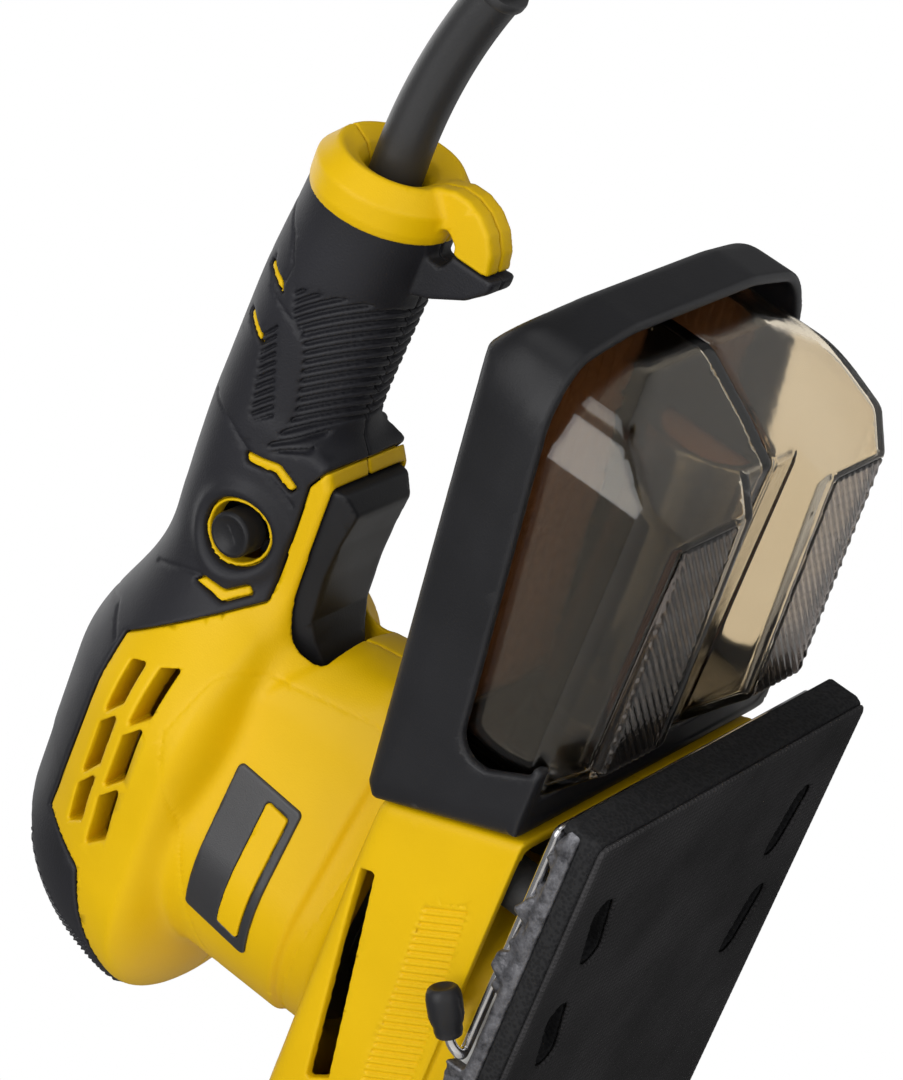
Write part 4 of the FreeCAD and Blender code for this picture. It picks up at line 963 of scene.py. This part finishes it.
def casting_cuts(x, y, z):
    """What is taken out of the casting: dust slots, bearing seat, post seats, clamp gaps, wire grooves."""
    cuts = [holes(x, y), both(np.hypot(x - HUB_X, y) - 11, 9.5 - z), np.hypot(x - HUB_X, y) - 6]
    cuts += [both(np.hypot(x - post_x, y - post_y) - 5.05, 7.9 - z) for post_x, post_y in POSTS]
    cuts += [block(x, y, z, (low, -52, 8.2), (high, -41.8, 30), 1.0) for low, high in ((17, 36), (-71, -52))]
    cuts += [both(np.hypot(x - wire_x, z - 10.6) - 1.5, np.abs(y) - 60) for wire_x in (72, -107)]
    return cuts


def casting():
    """Plate with a rough, uneven rim standing round it."""
    grid = Grid((-113, -48, 4), (78, 48, 20))
    x, y, z = grid.axes
    plan = pad_plan(x, y)
    plate = slab(plan, z - 6.5, 1.5, 0.5)
    plan = np.maximum(plan, x - PAD_HIGH + 3)
    wave = (np.sin(x * 0.47 + 0.6) + 0.55 * np.sin(x * 1.03 + 2.1) + 0.3 * np.sin(x * 1.9)
            + 0.6 * np.sin(y * 0.52 + x * 0.05) + 0.3 * np.sin(y * 1.31))
    top = 11.2 + wave - 1.6 * np.clip((x - 54) / 12, 0, 1)
    swell = 0.35 * np.sin(x * 0.83 + z * 0.4 + np.sign(y)) + 0.25 * np.sin(y * 0.9 + z * 0.6)
    rim = both(both(np.abs(plan + 1.9 + swell * 0.6) - 1.5, 6 - z, 0.4), z - top, 1.2)
    shape = join(join(plate, rim, 0.8), casting_ribs(x, y, z, plan), 1.2)
    shape = np.maximum(shape, 5 - z)
    for cut in casting_cuts(x, y, z):
        shape = less(shape, cut, 0.4)
    solid("base_casting", grid, shape, "base", "cast_metal", replaces=["base_frame"])


def pad():
    """Foam cushion with a bulging edge, and the hook sheet under it, dimpled at the dust slots."""
    grid = Grid((-113, -48, -1), (78, 48, 10.5))
    x, y, z = grid.axes
    plan = pad_plan(x, y)
    bulge = 0.35 * np.cos((z - 3) * 0.75)
    # raised foam lip across the rear end: partly a backing edge, partly a dark piece that stands in for the
    # shade over the casting's rear (painted shade)
    lip = block(x, y, z, (PAD_HIGH - 2.4, 0.5 - PAD_HALF, 2), (PAD_HIGH + 0.2, PAD_HALF - 0.5, 9.2), 0.7)
    body = less(join(slab(plan - bulge, z - 3, 1.98, 0.5), lip, 0.5), holes(x, y), 0.6)
    made = solid("foam_cushion", grid, body, "base", "foam", replaces=["foam_pad"], detail=0.02)
    dimples = 0.18 * np.clip(1 - np.abs(holes(x, y) + 0.9) / 1.2, 0, 1)
    tufts = 0.14 * (np.sin(x * 4.2) * np.sin(y * 4.2))
    sheet = less(slab(plan + 0.2, z - 0.55 + dimples, 0.5 + tufts * 0.4, 0.3), holes(x, y) + 0.2, 0.4)
    solid("hook_face", grid, sheet, "base", "hook_fabric", replaces=["hook_sheet"], detail=0.03)


WIRE_RADIUS, HINGE_REACH, HINGE_Z = 1.0, 89.5, 10.6
KNOB = [(1.1, 0), (2.2, 0.0), (2.5, 0.25), (2.75, 1.2), (2.75, 2.2), (3.1, 3.0), (3.4, 4.2), (3.45, 7.6),
        (3.3, 8.6), (2.9, 9.5), (2.5, 9.85), (2.1, 9.9), (1.6, 9.5), (0.5, 9.2), (0.02, 9.15)]


def clamp(end, name):
    """Spring-wire lever with a turned knob on its raised tip."""
    middle = (PAD_LOW + PAD_HIGH) / 2
    hinge = middle + end * HINGE_REACH
    knob = 26 if end > 0 else 2 * middle - 26
    tip = Vector((knob + end * 3.2, -46.6, 17.4))
    out = Vector((knob - end * 5.2, -46.3, 12.4))
    bends = [(hinge, 41.5, HINGE_Z), (hinge, -43.2, HINGE_Z), (knob - end * 6.4, -43.2, HINGE_Z),
             (knob - end * 6.2, -46.0, 9.6)]
    route = rounded_route(bends + [out, tip], 1.5)
    points, faces = swept(route, [WIRE_RADIUS] * len(route), 20)
    add_mesh(f"clamp_wire_bent_{name}", points, faces, f"clamp_{name}", "wire_chrome",
             replaces=[f"clamp_wire_{name}"])
    rise = (tip - out).normalized()
    points, faces = turned(KNOB, out + rise * 1.6, rise)
    add_mesh(f"clamp_knob_moulded_{name}", points, faces, f"clamp_{name}", "black_plastic",
             replaces=[f"clamp_knob_{name}"], sharp=50)


# -------- controls, badges, cord fittings
TRIGGER_SIDE = [(42.5, 99.8), (39.4, 94.0), (39.8, 87.4), (43.4, 85.4), (47.6, 88.4), (52, 90.4), (62, 91.0),
                (70, 90.5), (77.6, 89.4), (80.8, 92.6), (80.8, 96.6), (77.5, 99.6)]
TRIGGER_HALF, TRIGGER_LEAN, LEAN_FROM = 11.1, 0.5, 94.4
BUTTON = [(2.2, 9.4), (2.2, 6.0), (4.4, 6.0), (4.65, 5.7), (4.7, 5.3), (4.7, 0.95), (4.6, 0.45), (4.3, 0.12),
          (4.0, 0.0), (3.7, 0.05), (3.3, 0.3), (2.4, 0.7), (1.3, 0.95), (0.02, 1.0)]
BADGE = [(25, 87), (24, 70.0), (-9, 68.4), (-6.7, 84.6)]
BADGE_BAR = [(22.0, 77.6), (21.4, 72.0), (-5.8, 70.8), (-4.9, 76.2)]
BOOT_RADIUS = 5.3


def trigger():
    """Paddle with a curled foot, narrower towards its finger side."""
    grid = Grid((38.5, -12, 84), (82, 12, 103), 0.4)
    x, y, z = grid.axes
    across = np.abs(y)
    form = slab(outline(TRIGGER_SIDE, x, z, 1.6), across, TRIGGER_HALF, 1.0)
    flank = (across - TRIGGER_HALF + TRIGGER_LEAN * (LEAN_FROM - z)) / 1.12
    form = both(form, flank, 0.5)
    solid("trigger_paddle", grid, form, "trigger", "black_plastic", replaces=["trigger"])


def lock_button():
    """Round button with a dished face, on its stem."""
    points, faces = turned(BUTTON, (LOCK_X, -18.6, LOCK_Z), (0, 1, 0), 48)
    add_mesh("lock_button_cap", points, faces, "lock_button", "black_plastic", replaces=["lock_button"])


def badge():
    """Plain plate on each side of the body, with one yellow bar let into it."""
    grid = Grid((-11, -29.5, 67), (27, -16, 88.5), VOXEL / 2)
    x, y, z = grid.axes
    skin = oval(x, -y) - PANEL_RISE
    plate = slab(outline(BADGE, x, z, 1.2), skin - 0.3, 0.9, 0.35)
    bar_zone = outline(BADGE_BAR, x, z, 0.7)
    plate = less(plate, np.maximum(bar_zone - 0.15, 0.6 - skin), 0.2)
    bar = slab(bar_zone, skin - 0.9, 0.55, 0.25)
    for side, sign in SIDES:
        solid(f"side_plate_{side}", grid, plate, "housing", "black_badge", replaces=[f"badge_{side}"],
              mirrored=sign > 0)
        solid(f"side_plate_bar_{side}", grid, bar, "housing", "yellow_shell", mirrored=sign > 0)


def relief_boot():
    """Tapered strain relief that bends down with the cord."""
    turn, bend, count = math.radians(20), 115, 26
    centres, radii = [Vector((129, 0, HANDLE_Z)), Vector((133, 0, HANDLE_Z))], [BOOT_RADIUS] * 2
    for k in range(count + 1):
        t = k / count
        drop = bend * (1 - math.cos(turn * t))
        centres.append(Vector((RING_END + bend * math.sin(turn * t), 0, HANDLE_Z - drop)))
        radii.append(BOOT_RADIUS - 0.4 * t ** 0.8)
    ahead = Vector((math.cos(turn), 0, -math.sin(turn)))
    end = centres[-1]
    for step, radius in ((0.1, 5.35), (0.5, 5.5), (1.6, 5.5), (2.1, 5.3), (2.3, 4.6), (2.3, 3.4)):
        centres.append(end + ahead * step)
        radii.append(radius)
    points, faces = swept(centres, radii, 40)
    add_mesh("strain_relief_boot", points, faces, "housing", "cord_rubber", replaces=["strain_relief"],
             sharp=50)


def tie():
    """Strap and buckle round the coil."""
    grid = Grid((333, 47, -0.5), (345, 73, 22))
    x, y, z = grid.axes
    outside = block(x, y, z, (334.6, 48.5, 0.02), (343.4, 71.5, 20.4), 2.6)
    inside = block(x, y, z, (300, 49.9, 1.2), (370, 70.1, 19.2), 2.0)
    buckle = block(x, y, z, (333.8, 55, 18.6), (344.2, 63, 21.2), 0.7)
    shape = join(less(outside, inside, 0.3), buckle, 0.4)
    solid("cord_tie_strap", grid, shape, "housing", "tie_plastic", replaces=["cord_tie"])


lid()
bin_cup()
filter_pleats()
dust_inlet()
casting()
pad()
clamp(1, "rear")
clamp(-1, "front")
trigger()
lock_button()
badge()
relief_boot()
tie()


def finish_nodes():
    """The CAD's own pieces that stay visible get the material of their slot."""
    slots = {row["node"]: row["material_slot"] for row in frame["record"]["subparts"]}
    for name, obj in frame["nodes"].items():
        slot = slots.get(name)
        if slot in MATERIALS:
            obj.data.materials.clear()
            obj.data.materials.append(MATERIALS[slot])


finish_nodes()
